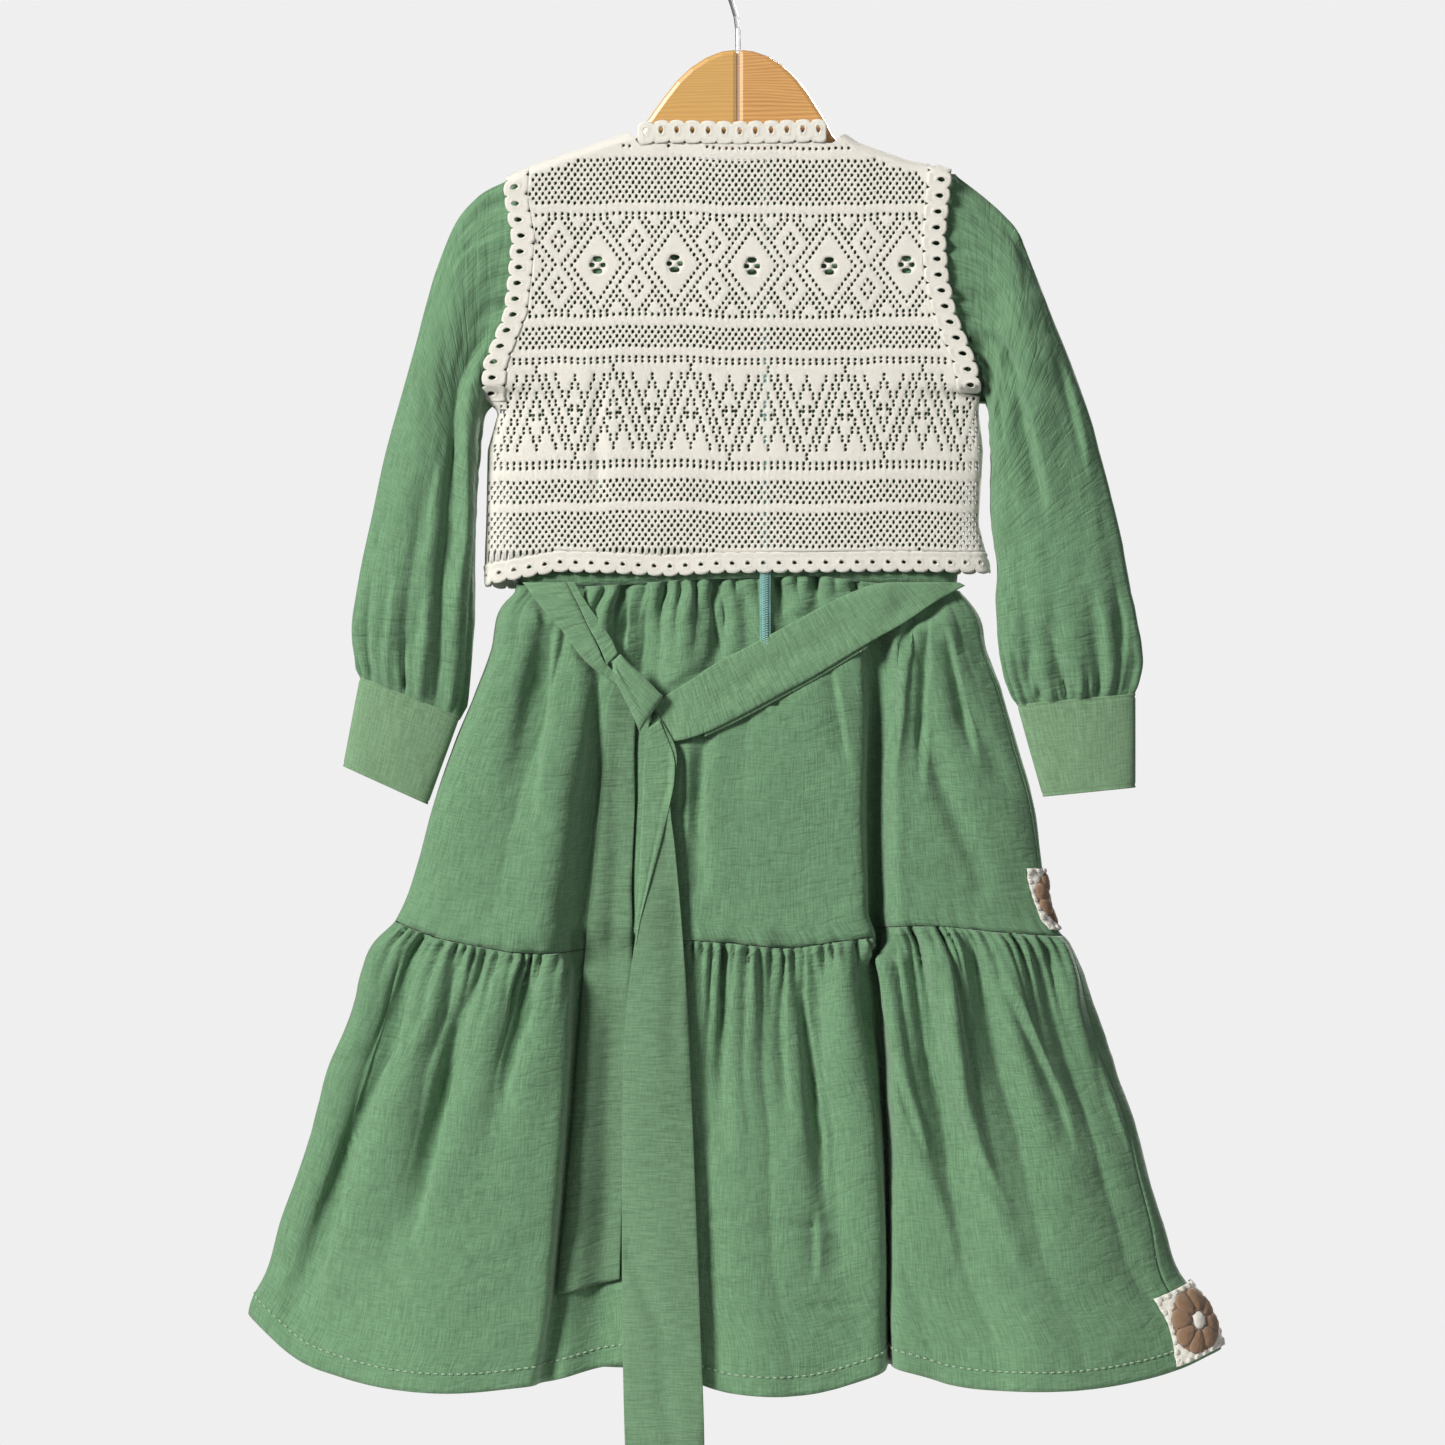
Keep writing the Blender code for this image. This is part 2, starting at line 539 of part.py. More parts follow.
def skirt_cover(x, z):
    """Depth that clears the skirt's ridges round a place, for cloth that bridges its folds."""
    reach = np.linspace(-BRIDGE, BRIDGE, 13)
    places = [(x + dx, z + dz) for dx in reach for dz in (-BRIDGE / 2, 0, BRIDGE / 2)]
    return max(skirt_depth(np.array([px]), np.array([pz]))[0] for px, pz in places)


def torso_round(tops, side, x, z, grow):
    """Share of the full depth under the shoulder line, where the cloth rounds over the hanger."""
    top = straight(tops, "x", side, x) + grow
    radius = SHOULDER_RADIUS + grow
    fall = np.clip((top - z) / radius, 0, 1)
    closed = ease(straight(tops, "x", "closed", x))
    return 1 - closed * (1 - np.sqrt(np.maximum(1 - (1 - fall) ** 2, 0)))


def torso_depth(form, tops, side, x, z, grow, closing):
    """Depth of a bodice or overlay from the middle plane; it closes at its sides below the armhole."""
    left = straight(form, "z", "left", z) - grow
    right = straight(form, "z", "right", z) + grow
    share = (x - left) / (right - left)
    shut = ease((UNDERARM + closing - z) / closing)
    depth = (straight(form, "z", "depth", z) + grow) * torso_round(tops, side, x, z, grow)
    return np.maximum(depth * (1 - shut * (1 - bulge(share))), SEAM_GAP / 2)


def torso_point(form, tops, side, x, z, grow, closing):
    depth = torso_depth(form, tops, side, x, z, grow, closing)
    return np.array([x, float(-depth if side == "back" else depth), z])


def waist_height(side, x):
    share = (x - SKIRT[0].left) / (SKIRT[0].right - SKIRT[0].left)
    name = "waist" if side == "back" else "front_waist"
    return float(read(LINES, "share", name, share)) + WAIST_GAP


def overlay_foot(side, x):
    """Lower edge of the overlay's panels, above the hem edging."""
    return overlay_hem(side, x) + HEM_EDGING + EDGING_GAP


def overlay_hem(side, x):
    return float(straight(HEM_LINE, "x", side, x))


def overlay_top(side, x):
    """Upper edge of the overlay's panels; at the back of the neck it lies below the neck edging."""
    top = float(straight(OVERLAY_TOP, "x", side, x))
    closed = float(straight(OVERLAY_TOP, "x", "closed", x))
    drop = NECK_EDGING + EDGING_GAP if side == "back" else 0
    return top - drop * (1 - closed)


def bodice_top(side, x):
    return float(straight(BODICE_TOP, "x", side, x))


def side_edges(form, level, grow):
    """A panel's side edges at a level: open along the armhole, closing to the other side below it."""
    left, right, edging = (float(straight(form, "z", name, level)) for name in ("left", "right", "edging"))
    if level > UNDERARM or edging:
        return left + edging, right - edging
    return left - grow, right + grow


def row_level(cut, row):
    """Level whose outline a panel's row takes."""
    if row < len(DROPS):
        return cut.shoulder - DROPS[row]
    return (cut.levels + (cut.bottom,))[row - len(DROPS)]


def row_height(cut, side, x, row, grow):
    """Height of a panel's row at a place across: first below its top edge, then between its levels."""
    rise = grow * float(straight(cut.tops, "x", "closed", x))
    z = cut.top_edge(side, x) + rise - DROPS[min(row, len(DROPS) - 1)]
    if row < len(DROPS):
        return z
    start = cut.shoulder - DROPS[-1]
    down = (start - row_level(cut, row)) / (start - cut.bottom)
    return z + (cut.foot(side, x) - z) * down


def row_edges(cut, side, row, grow):
    """A row's side edges; along the armhole they are read at the edge's own height."""
    level = row_level(cut, row)
    edges = side_edges(cut.form, level, grow)
    if level < ARMHOLE_FLARE:
        return edges
    heights = [row_height(cut, side, x, row, 0.0) for x in edges]
    return side_edges(cut.form, heights[0], grow)[0], side_edges(cut.form, heights[1], grow)[1]


def torso_panel(name, cut, side, columns, holes=()):
    """Panel of bodice or overlay; a column at 0 or 1 is its side edge, any other is a place in x."""
    grids = []
    for grow in (0.0, -cut.thick):
        rows = len(DROPS) + len(cut.levels) + 1
        grid = np.zeros((rows, len(columns), 3))
        for i in range(rows):
            low, high = row_edges(cut, side, i, grow)
            for j, place in enumerate(columns):
                x = low if place == 0 else high if place == 1 else place
                z = row_height(cut, side, x, i, grow)
                grid[i, j] = torso_point(cut.form, cut.tops, side, x, z, grow, cut.closing)
        grids.append(grid)
    return wall(name, grids[0], grids[1], cut.finish, holes)


def spread(first, last, count):
    return [first + (last - first) * k / count for k in range(count + 1)]


def make_bodice(cut):
    torso_panel("bodice_front", cut, "front", [0, -122, -99, -76, -71, -45, -15, 15, 42, 65, 70, 90, 110, 1])
    torso_panel("bodice_back_left", cut, "back", [0, -122, -99, -76, -71, -42, -14, ZIP_X - SEAM_GAP / 2])
    torso_panel("bodice_back_right", cut, "back", [ZIP_X + SEAM_GAP / 2, 40, 65, 70, 90, 110, 1])


def make_overlay(cut, front_cut):
    columns, holes = [0, -118], []
    between = {1: (-73, -65), 4: (68, 78)}
    for number, flower in enumerate(FLOWER_X):
        if number:
            columns += between.get(number, [(FLOWER_X[number - 1] + flower) / 2])
        column = len(columns)
        columns += [flower - FLOWER_HOLE_WIDTH / 2, flower + FLOWER_HOLE_WIDTH / 2]
        first = len(DROPS) + FLOWER_ROW
        holes += [(first, column), (first + 2, column)]
    torso_panel("overlay_back", cut, "back", [*columns, 1], holes)
    torso_panel("overlay_front_left", front_cut, "front", [0, -118, -95, -73, -65, -48, OPEN_LEFT])
    torso_panel("overlay_front_right", front_cut, "front", [OPEN_RIGHT, 45, 60, 68, 86, 104, 1])


def facing_out(grid, away, closed=False):
    """Unit directions square to a grid of points, turned away from a point or line of points."""
    if closed:
        across = np.roll(grid, -1, axis=1) - np.roll(grid, 1, axis=1)
    else:
        across = np.gradient(grid, axis=1)
    down = np.gradient(grid, axis=0)
    out = np.cross(across, down)
    out /= np.maximum(np.linalg.norm(out, axis=2), 1e-9)[:, :, None]
    if ((grid - away) * out).sum() < 0:
        out = -out
    return out


def strip_of_crochet(name, grid, holes, away, axis):
    """Edging with its wall square to its surface, but never along the axis that faces the overlay."""
    out = facing_out(grid, away)
    out[:, :, axis] = 0
    out /= np.linalg.norm(out, axis=2)[:, :, None]
    return wall(name, grid, grid - out * CROCHET, CREAM, holes)


def eyelet_places(start, count):
    """Places of the bars' edges along an edging; the cells at odd places are eyelets."""
    places = [start]
    for _ in range(count):
        places += [places[-1] + EYELET_PITCH - EYELET_WIDTH, places[-1] + EYELET_PITCH]
    return places


def make_armhole_edging(name, side_x):
    """Edging round one armhole, from the front underarm over the shoulder; the back's eyelets are open."""
    runs = eyelet_places(ARMHOLE_START, ARMHOLE_EYELETS)
    plain = spread(-ARMHOLE_END, -ARMHOLE_START, 9)
    drops = [*plain, -2.5, 0, 2.5, *runs, ARMHOLE_END]
    across = (0, *EYELET_ROWS, EDGING - EDGING_GAP)
    grid = np.zeros((len(across), len(drops), 3))
    for j, drop in enumerate(drops):
        side = "back" if drop >= 0 else "front"
        edge_top = float(straight(OVERLAY_TOP, "x", side, side_x * 200))
        level = edge_top - abs(drop)
        key = "left" if side_x < 0 else "right"
        for i, inward in enumerate(across):
            x = float(straight(OVERLAY, "z", key, level)) - side_x * inward
            rise = float(straight(OVERLAY_TOP, "x", side, x)) - edge_top
            z = level + rise * math.exp(-abs(drop) / 12)
            x = float(straight(OVERLAY, "z", key, z)) - side_x * inward
            grid[i, j] = torso_point(OVERLAY, OVERLAY_TOP, side, x, z, 0, TRIM_CLOSING)
            if drop == 0:
                grid[i, j, 1] = 0
    holes = [(1, j) for j in range(len(drops) - 1) if is_eyelet(drops, j)]
    inside = np.array([0.0, 0.0, UNDERARM])
    return strip_of_crochet(name, grid, holes, inside, 0)


def is_eyelet(places, j):
    """Whether a cell along an edging is an eyelet rather than a bar."""
    width = abs(places[j + 1] - places[j])
    return abs(width - EYELET_WIDTH) < 0.01


def make_neck_edging():
    places = [-67, *eyelet_places(-61.5, NECK_EYELETS), 55.5, 60.5]
    rows = (0, *EYELET_ROWS, NECK_EDGING)
    grid = np.zeros((len(rows), len(places), 3))
    for j, x in enumerate(places):
        top = float(straight(OVERLAY_TOP, "x", "back", x))
        closed = float(straight(OVERLAY_TOP, "x", "closed", x))
        for i, drop in enumerate(rows):
            z = top - drop * (1 - closed) - 0.5 * closed
            depth = float(straight(OVERLAY, "z", "depth", z))
            grid[i, j] = (x, -depth + 3.5 * closed, z + 2.6 * closed * (len(rows) - i))
    holes = [(1, j) for j in range(len(places) - 1) if is_eyelet(places, j)]
    return strip_of_crochet("overlay_neck_edging", grid, holes, np.array([0.0, 0.0, -150.0]), 2)


def make_hem_edging():
    """Edging along the overlay's hem, from the left front edge round the back to the right front edge."""
    width = OVERLAY[-1].right - OVERLAY[-1].left
    first = -math.acos(1 - 2 * (OPEN_LEFT - OVERLAY[-1].left) / width)
    last = math.pi + math.acos(1 - 2 * (OVERLAY[-1].right - OPEN_RIGHT) / width)
    turns = [first * k / 8 for k in range(8, 0, -1)]
    turns += [math.pi * k / 26 for k in range(27)]
    turns += [math.pi + (last - math.pi) * k / 8 for k in range(1, 9)]
    grid = np.zeros((2, len(turns), 3))
    for j, turn in enumerate(turns):
        side = "back" if 0 <= turn <= math.pi else "front"
        share = 0.5 - 0.5 * math.cos(turn)
        for i in range(2):
            x = OVERLAY[-1].left + width * share
            z = overlay_hem(side, x) + HEM_EDGING * (1 - i)
            left, right = (float(straight(OVERLAY, "z", key, z)) for key in ("left", "right"))
            depth = float(straight(OVERLAY, "z", "depth", z)) * float(bulge(share))
            grid[i, j] = (left + (right - left) * share, -depth if side == "back" else depth, z)
    return strip_of_crochet("overlay_hem_edging", grid, (), np.array([0.0, 0.0, -425.0]), 2)


def ring_points(ring, columns):
    """Points round a flattened tube between a ring's outer and inner ends."""
    turn = np.linspace(0, 2 * math.pi, columns, endpoint=False)
    middle = np.array([(ring.outer_x + ring.inner_x) / 2, 0, (ring.outer_z + ring.inner_z) / 2])
    half = np.array([(ring.outer_x - ring.inner_x) / 2, 0, (ring.outer_z - ring.inner_z) / 2])
    points = middle + np.cos(turn)[:, None] * half
    flat = np.sign(np.sin(turn)) * np.abs(np.sin(turn)) ** 0.75
    points[:, 1] = -ring.depth * flat
    return points


def armhole_ring(cut, side_x):
    """First ring of a sleeve, at the rows of the bodice's armhole edge: down the back, up the front."""
    rows = range(len(DROPS) + ARMHOLE_LEVELS)
    walk = [("back", row) for row in rows] + [("front", row) for row in reversed(rows[1:-1])]
    points = []
    for side, row in walk:
        edge = row_edges(cut, side, row, 0.0)[0 if side_x < 0 else 1]
        z = row_height(cut, side, edge, row, 0.0)
        point = torso_point(cut.form, cut.tops, side, edge, z, 0, cut.closing)
        point[0] += side_x * SEAM_GAP
        if row in (rows[0], rows[-1]):
            point[1] = 0
        points.append(point)
    return np.array(points)


def make_sleeve(name, cut, rings, side_x):
    first = armhole_ring(cut, side_x)
    columns = len(first)
    outer = np.stack([first] + [ring_points(ring, columns) for ring in rings])
    out = facing_out(outer, outer.mean(axis=1, keepdims=True), closed=True)
    out[0, :, 0] = 0
    out[0] /= np.linalg.norm(out[0], axis=1)[:, None]
    for i in range(1, len(outer)):
        for j in range(columns):
            rise = outer[i, j, 2] - outer[-1, j, 2]
            outer[i, j] += out[i, j] * gather(j, rise, SLEEVE_GATHER, 7)
    return wall(name, outer, outer - out * CLOTH, GREEN, closed=True)


def make_cuff(name, rings):
    outer = np.stack([ring_points(ring, CUFF_COLUMNS) for ring in rings])
    out = facing_out(outer, outer.mean(axis=1, keepdims=True), closed=True)
    return wall(name, outer, outer - out * CUFF_WALL, PALE_GREEN, closed=True)


def make_strip(name, table, rows, columns, finish):
    """Flat strip of the sash, bridging the skirt's folds at its lift."""
    steps = np.linspace(0, len(table) - 1, rows + 1)
    edges = {key: np.interp(steps, range(len(table)), [getattr(row, key) for row in table])
             for key in Strip._fields}
    outer = np.zeros((rows + 1, columns + 1, 3))
    for i in range(rows + 1):
        for j in range(columns + 1):
            part = j / columns
            x = edges["x_a"][i] + (edges["x_b"][i] - edges["x_a"][i]) * part
            z = edges["z_a"][i] + (edges["z_b"][i] - edges["z_a"][i]) * part
            outer[i, j] = (x, -skirt_cover(x, z) - edges["lift"][i] - SASH_CLOTH, z)
    inner = outer + np.array([0, SASH_CLOTH, 0])
    return wall(name, outer, inner, finish)


def make_knot():
    """Wrap of the knot: flattened rings, closed at both ends."""
    sides = 12
    points, faces = [], []
    for wrap in KNOT:
        middle = -skirt_cover(wrap.x, wrap.z) - KNOT_LIFT - 2
        for k in range(sides):
            angle = 2 * math.pi * k / sides
            across, deep = math.cos(angle) * wrap.half_width, math.sin(angle) * wrap.half_depth
            points.append((wrap.x + across, middle + deep, wrap.z + 0.3 * across))
    for i in range(len(KNOT) - 1):
        for k in range(sides):
            low, high = i * sides, (i + 1) * sides
            faces.append([low + k, low + (k + 1) % sides, high + (k + 1) % sides, high + k])
    last = (len(KNOT) - 1) * sides
    faces += [list(range(sides - 1, -1, -1)), [last + k for k in range(sides)]]
    return add_mesh("sash_knot", points, faces, PALE_GREEN)


def make_zip():
    """Zip tape with its coil on the back's centre line, from the neck to below the waist seam."""
    heights = [-190, -215, -240, -265, -290, -319, -350, -380, -410, -432, -437, -444, -456, ZIP_END]
    grids = []
    for thick in (ZIP_WALL, 0.0):
        grid = np.zeros((len(heights), 2, 3))
        for i, z in enumerate(heights):
            for j, x in enumerate((ZIP_X - ZIP_WIDTH / 2, ZIP_X + ZIP_WIDTH / 2)):
                grid[i, j] = (x, -zip_bed(z) - thick, z)
        grids.append(grid)
    return wall("zip_tape", grids[0], grids[1], TEAL)


def zip_bed(z):
    """Depth of the zip's underside, just off the bodice and the gathers of the skirt."""
    edges = (ZIP_X - ZIP_WIDTH / 2, ZIP_X + ZIP_WIDTH / 2)
    if z > -434:
        depths = [torso_depth(BODICE, BODICE_TOP, "back", x, z, 0, BODICE_CLOSING) for x in edges]
        return float(max(depths)) + 0.5
    if z > -439:
        return BODICE[-1].depth + 2.6
    places = np.linspace(ZIP_X - 9, ZIP_X + 9, 7)
    return float(max(skirt_depth(places, np.full(7, float(z))))) + 2.2


def make_zip_slider():
    """Slider body with its pull tab hanging from it, one outline of one thickness."""
    outline = [(-3, 0), (3, 0), (3.6, -4), (2.6, -9), (1.4, -10), (1.9, -23), (0, -26),
               (-1.9, -23), (-1.4, -10), (-2.6, -9), (-3.6, -4)]
    top = -191.0
    points = [
        (ZIP_X + x, -(zip_bed(top + z) + ZIP_WALL + 0.45 + y), top + z)
        for y in (0, 1.4) for x, z in outline
    ]
    count = len(outline)
    faces = [list(range(count)), [count + k for k in reversed(range(count))]]
    faces += [[k, count + k, count + (k + 1) % count, (k + 1) % count] for k in range(count)]
    return add_mesh("zip_slider", points, faces, STEEL)


def make_arm(name, outline, finish):
    """One wooden half of the hanger, its edges rounded."""
    count = len(outline)
    points = [(corner.x, y, corner.z) for y in (-WOOD / 2, WOOD / 2) for corner in outline]
    faces = [list(range(count)), [count + k for k in reversed(range(count))]]
    faces += [[k, count + k, count + (k + 1) % count, (k + 1) % count] for k in range(count)]
    arm = add_mesh(name, points, faces, finish)
    rounding = arm.modifiers.new("rounded_edges", "BEVEL")
    rounding.width = WOOD_ROUND * MM
    rounding.segments = 2
    rounding.limit_method = "ANGLE"
    rounding.angle_limit = math.radians(60)
    return arm


def make_hook():
    """Wire hook: an arc over the rail, then a bend back to the stem that enters the wood."""
    middle = HOOK_WIRE / 2 - HOOK_RADIUS
    route = []
    for step in range(19):
        angle = math.radians(-28 + 236 * step / 18)
        route.append((HOOK_RADIUS * math.cos(angle), middle + HOOK_RADIUS * math.sin(angle)))
    route += [(-15.6, -38.5), (-11.0, -46), (-7.8, -54), (-5.0, -62), (-2.6, -70), (-1.5, -78), (-1.3, -92.1)]
    curve = bpy.data.curves.new("hanger_hook", "CURVE")
    curve.dimensions = "3D"
    curve.bevel_depth = HOOK_WIRE / 2 * MM
    curve.bevel_resolution = 2
    curve.use_fill_caps = True
    spline = curve.splines.new("POLY")
    spline.points.add(len(route) - 1)
    for point, (x, z) in zip(spline.points, route):
        point.co = (x * MM, 0, z * MM, 1)
    curve.materials.append(material(STEEL))
    hook = bpy.data.objects.new("hanger_hook", curve)
    bpy.context.scene.collection.objects.link(hook)
    return hook


Cut = namedtuple("Cut", "form tops top_edge foot levels shoulder bottom closing thick finish")
BODICE_CUT = Cut(BODICE, BODICE_TOP, bodice_top, waist_height, (-205, -235, -262, -290, -321, -352, -400),
                 -176.0, -437.0, BODICE_CLOSING, CLOTH, GREEN)
OVERLAY_CUT = Cut(OVERLAY, OVERLAY_TOP, overlay_top, overlay_foot,
                  (-214, -226, -230.6, -234.8, -239.4, -264, -296, -318.5, -327, -352, -400),
                  -174.0, -420.0, TRIM_CLOSING, CROCHET, CREAM)
OVERLAY_FRONT_CUT = OVERLAY_CUT._replace(levels=(-214, -239.4, -264, -296, -318.5, -327, -352, -400))


def main():
    clear_scene()
    make_arm("hanger_arm_left", LEFT_ARM, PALE_WOOD)
    make_arm("hanger_arm_right", RIGHT_ARM, RED_WOOD)
    make_hook()
    make_bodice(BODICE_CUT)
    make_zip()
    make_zip_slider()
    upper_front = skirt_grid("upper", "front", 7, 38, UPPER_GATHER)
    lower_front = skirt_grid("lower", "front", 8, 46, LOWER_GATHER)
    skirt_panel("tier_upper_back", skirt_grid("upper", "back", 7, 68, UPPER_GATHER))
    skirt_panel("tier_upper_front", upper_front)
    skirt_panel("tier_lower_back", skirt_grid("lower", "back", 8, 80, LOWER_GATHER))
    skirt_panel("tier_lower_front", lower_front)
    make_patch("patch_seam", upper_front, 5.9, 6.93, 3, 0.6)
    make_patch("patch_hem", lower_front, 7.1, 7.95, 3, 1.5)
    make_sleeve("sleeve_left", BODICE_CUT, LEFT_SLEEVE, -1)
    make_sleeve("sleeve_right", BODICE_CUT, RIGHT_SLEEVE, 1)
    make_cuff("cuff_left", LEFT_CUFF)
    make_cuff("cuff_right", RIGHT_CUFF)
    make_overlay(OVERLAY_CUT, OVERLAY_FRONT_CUT)
    make_armhole_edging("overlay_armhole_edging_left", -1)
    make_armhole_edging("overlay_armhole_edging_right", 1)
    make_neck_edging()
    make_hem_edging()
    make_strip("sash_strand_right", STRAND_RIGHT, 12, 3, PALE_GREEN)
    make_strip("sash_strand_left", STRAND_LEFT, 7, 2, PALE_GREEN)
    make_strip("sash_strand_narrow", STRAND_NARROW, 6, 1, PALE_GREEN)
    make_strip("sash_tail_short", TAIL_SHORT, 12, 2, PALE_GREEN)
    make_strip("sash_tail_long", TAIL_LONG, 15, 2, PALE_GREEN)
    make_knot()


main()
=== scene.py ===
"""Looks of the tiered dress on its hanger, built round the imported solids. Tables are in millimetres."""

import math
from collections import namedtuple

import bmesh
import bpy
import numpy as np
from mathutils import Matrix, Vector
from mathutils.geometry import delaunay_2d_cdt


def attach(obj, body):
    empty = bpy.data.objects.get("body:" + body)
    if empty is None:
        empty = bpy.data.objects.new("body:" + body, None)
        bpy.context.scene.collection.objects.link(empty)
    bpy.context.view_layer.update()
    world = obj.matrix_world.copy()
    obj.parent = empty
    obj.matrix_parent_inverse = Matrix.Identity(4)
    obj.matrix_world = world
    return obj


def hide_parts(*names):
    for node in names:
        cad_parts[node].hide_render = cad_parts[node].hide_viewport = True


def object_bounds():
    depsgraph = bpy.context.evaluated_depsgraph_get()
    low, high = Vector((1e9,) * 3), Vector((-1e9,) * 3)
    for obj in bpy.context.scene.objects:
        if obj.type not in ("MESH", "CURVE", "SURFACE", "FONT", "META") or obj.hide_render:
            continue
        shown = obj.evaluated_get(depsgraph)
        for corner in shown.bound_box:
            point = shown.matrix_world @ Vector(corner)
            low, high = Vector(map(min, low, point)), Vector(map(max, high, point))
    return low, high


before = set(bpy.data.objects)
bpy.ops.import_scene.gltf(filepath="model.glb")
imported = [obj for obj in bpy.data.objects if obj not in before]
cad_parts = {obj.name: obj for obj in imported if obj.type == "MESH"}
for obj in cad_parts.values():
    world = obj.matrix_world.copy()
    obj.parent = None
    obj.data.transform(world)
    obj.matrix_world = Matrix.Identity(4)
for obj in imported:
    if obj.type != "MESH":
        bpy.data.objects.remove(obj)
CAD_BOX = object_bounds()

MM = 0.001
# Thickness of what shows: linen, overlay, sash and cuffs
CLOTH = 0.9
CROCHET = 1.2
SASH_CLOTH = 1.8
CUFF_THICK = 2.0
# Skirt and sash
SEAM_GAP = 0.4         # between pieces at a seam
LOOP_STEPS = 901       # steps round a section of the skirt, on the back and on the front
ROW_POWER = 1.2        # how much closer the rows of the skirt lie at its upper seams
FOLD_FADE = 18.0       # length over which a large fold runs out beyond its ends
LIP_PLACE, LIP_WIDTH = 1.6, 0.8
CLEAR_MIDDLE = 2.0     # least depth from the middle plane
PRESS_FADE = 7.0       # how far beside a strip of the sash the skirt lies flat
BRIDGE = 24.0          # how far round it the sash looks for the ridges that carry it
KNOT_LIFT = 9.4
# Bodice and overlay
WAIST_GAP = 0.7
WAIST_TUCK = 1.3       # how far the bodice's foot reaches down behind the gathers
UNDERARM = -319.0
SHOULDER_RADIUS = 7.0
TRIM_CLOSING, BODICE_CLOSING = 10.0, 40.0
BODICE_ROWS = 42
EDGE_ROWS = (0.0, 0.35, 1.1, 2.3, 4.0, 6.2)
UNDER_LACE = 1.7       # gap from the bodice to the overlay over it
OPEN_LEFT, OPEN_RIGHT = -30.0, 28.0
SMALLEST_CELL = 0.02   # area under which a cell of the lace is left out
# Openings of a flower: place from its middle, half width and half height
FLOWER_HOLES = ((0, 3.9, 3.1, 1.8), (0, -3.9, 3.1, 1.8), (-3.5, 0, 1.75, 1.55), (3.5, 0, 1.75, 1.55))
HOLE_CORNERS = 14
# Widths of the edgings, the gap that they leave and how far they lie over the edge of the lace
EDGING, NECK_EDGING, HEM_EDGING = 14.3, 12.5, 11.0
EDGING_GAP, OVERLAP = 1.1, 0.3
# Zip, hem stitches and patches
ZIP_X, ZIP_WIDTH = 16.3, 7.2
STITCHES_UP, STITCH_PITCH, STITCH = 12.5, 4.9, 3.1
SEAM_COLUMNS = 60      # columns of the panels that reach round the side seam, for the patches
PATCH_SIZE = 38

# Skirt outline, depth of its back and front from the middle plane, and how far each side seam lies
# round on the back, a row per level
Level = namedtuple("Level", "z left right back front seam_left seam_right")
SKIRT = [Level(*row) for row in (
    (-437, -146, 141, 15, 15, 0, 0), (-443, -146, 142, 15, 15, 0, 1), (-452, -153, 149, 17, 17, 0, 2),
    (-484, -161, 159, 20, 20, 0, 4), (-504, -169, 167, 22, 22, 0, 5), (-546, -186, 180, 25, 24, 0, 7),
    (-579, -198, 190, 27, 26, 0, 8), (-619, -209, 196, 29, 28, 0, 7), (-650, -220, 200, 30, 29, 0, 3),
    (-659, -225, 203, 31, 30, 0, 3), (-670, -235, 212, 32, 31, 0, 4), (-690, -244, 220, 34, 33, 0, 6),
    (-713, -250, 226, 35, 34, 0, 8), (-755, -268, 240, 37, 36, 0, 10), (-790, -277, 254, 38, 37, 0, 13),
    (-821, -287, 263, 39, 38, 0, 16), (-851, -298, 273, 40, 39, 0, 20), (-888, -309, 286, 41, 40, 0, 25),
    (-903, -317, 298, 41, 40, 0, 28), (-935, -319, 311, 42, 40, 0, 32), (-965, -312, 312, 42, 40, 0, 32),
)]

# Heights of the waist seam, the tier seam and the hem, a row per share of the width
Line = namedtuple("Line", "share waist tier hem front_waist front_tier front_hem")
LINES = [Line(*row) for row in (
    (0.00, -439, -657, -912, -439, -657, -912), (0.05, -441, -666, -939, -440, -662, -932),
    (0.10, -441, -671, -951, -441, -666, -944), (0.20, -440, -678, -960, -441, -668, -952),
    (0.30, -438, -675, -955, -440, -667, -950), (0.40, -436, -669, -943, -439, -666, -953),
    (0.50, -435, -671, -960, -438, -668, -956), (0.60, -434, -674, -958, -438, -668, -953),
    (0.66, -433, -669, -943, -439, -667, -950), (0.72, -435, -662, -955, -440, -666, -952),
    (0.80, -438, -660, -959, -441, -665, -954), (0.90, -440, -664, -955, -442, -665, -950),
    (0.96, -442, -666, -946, -443, -666, -943), (1.00, -443, -667, -935, -443, -667, -935),
)]

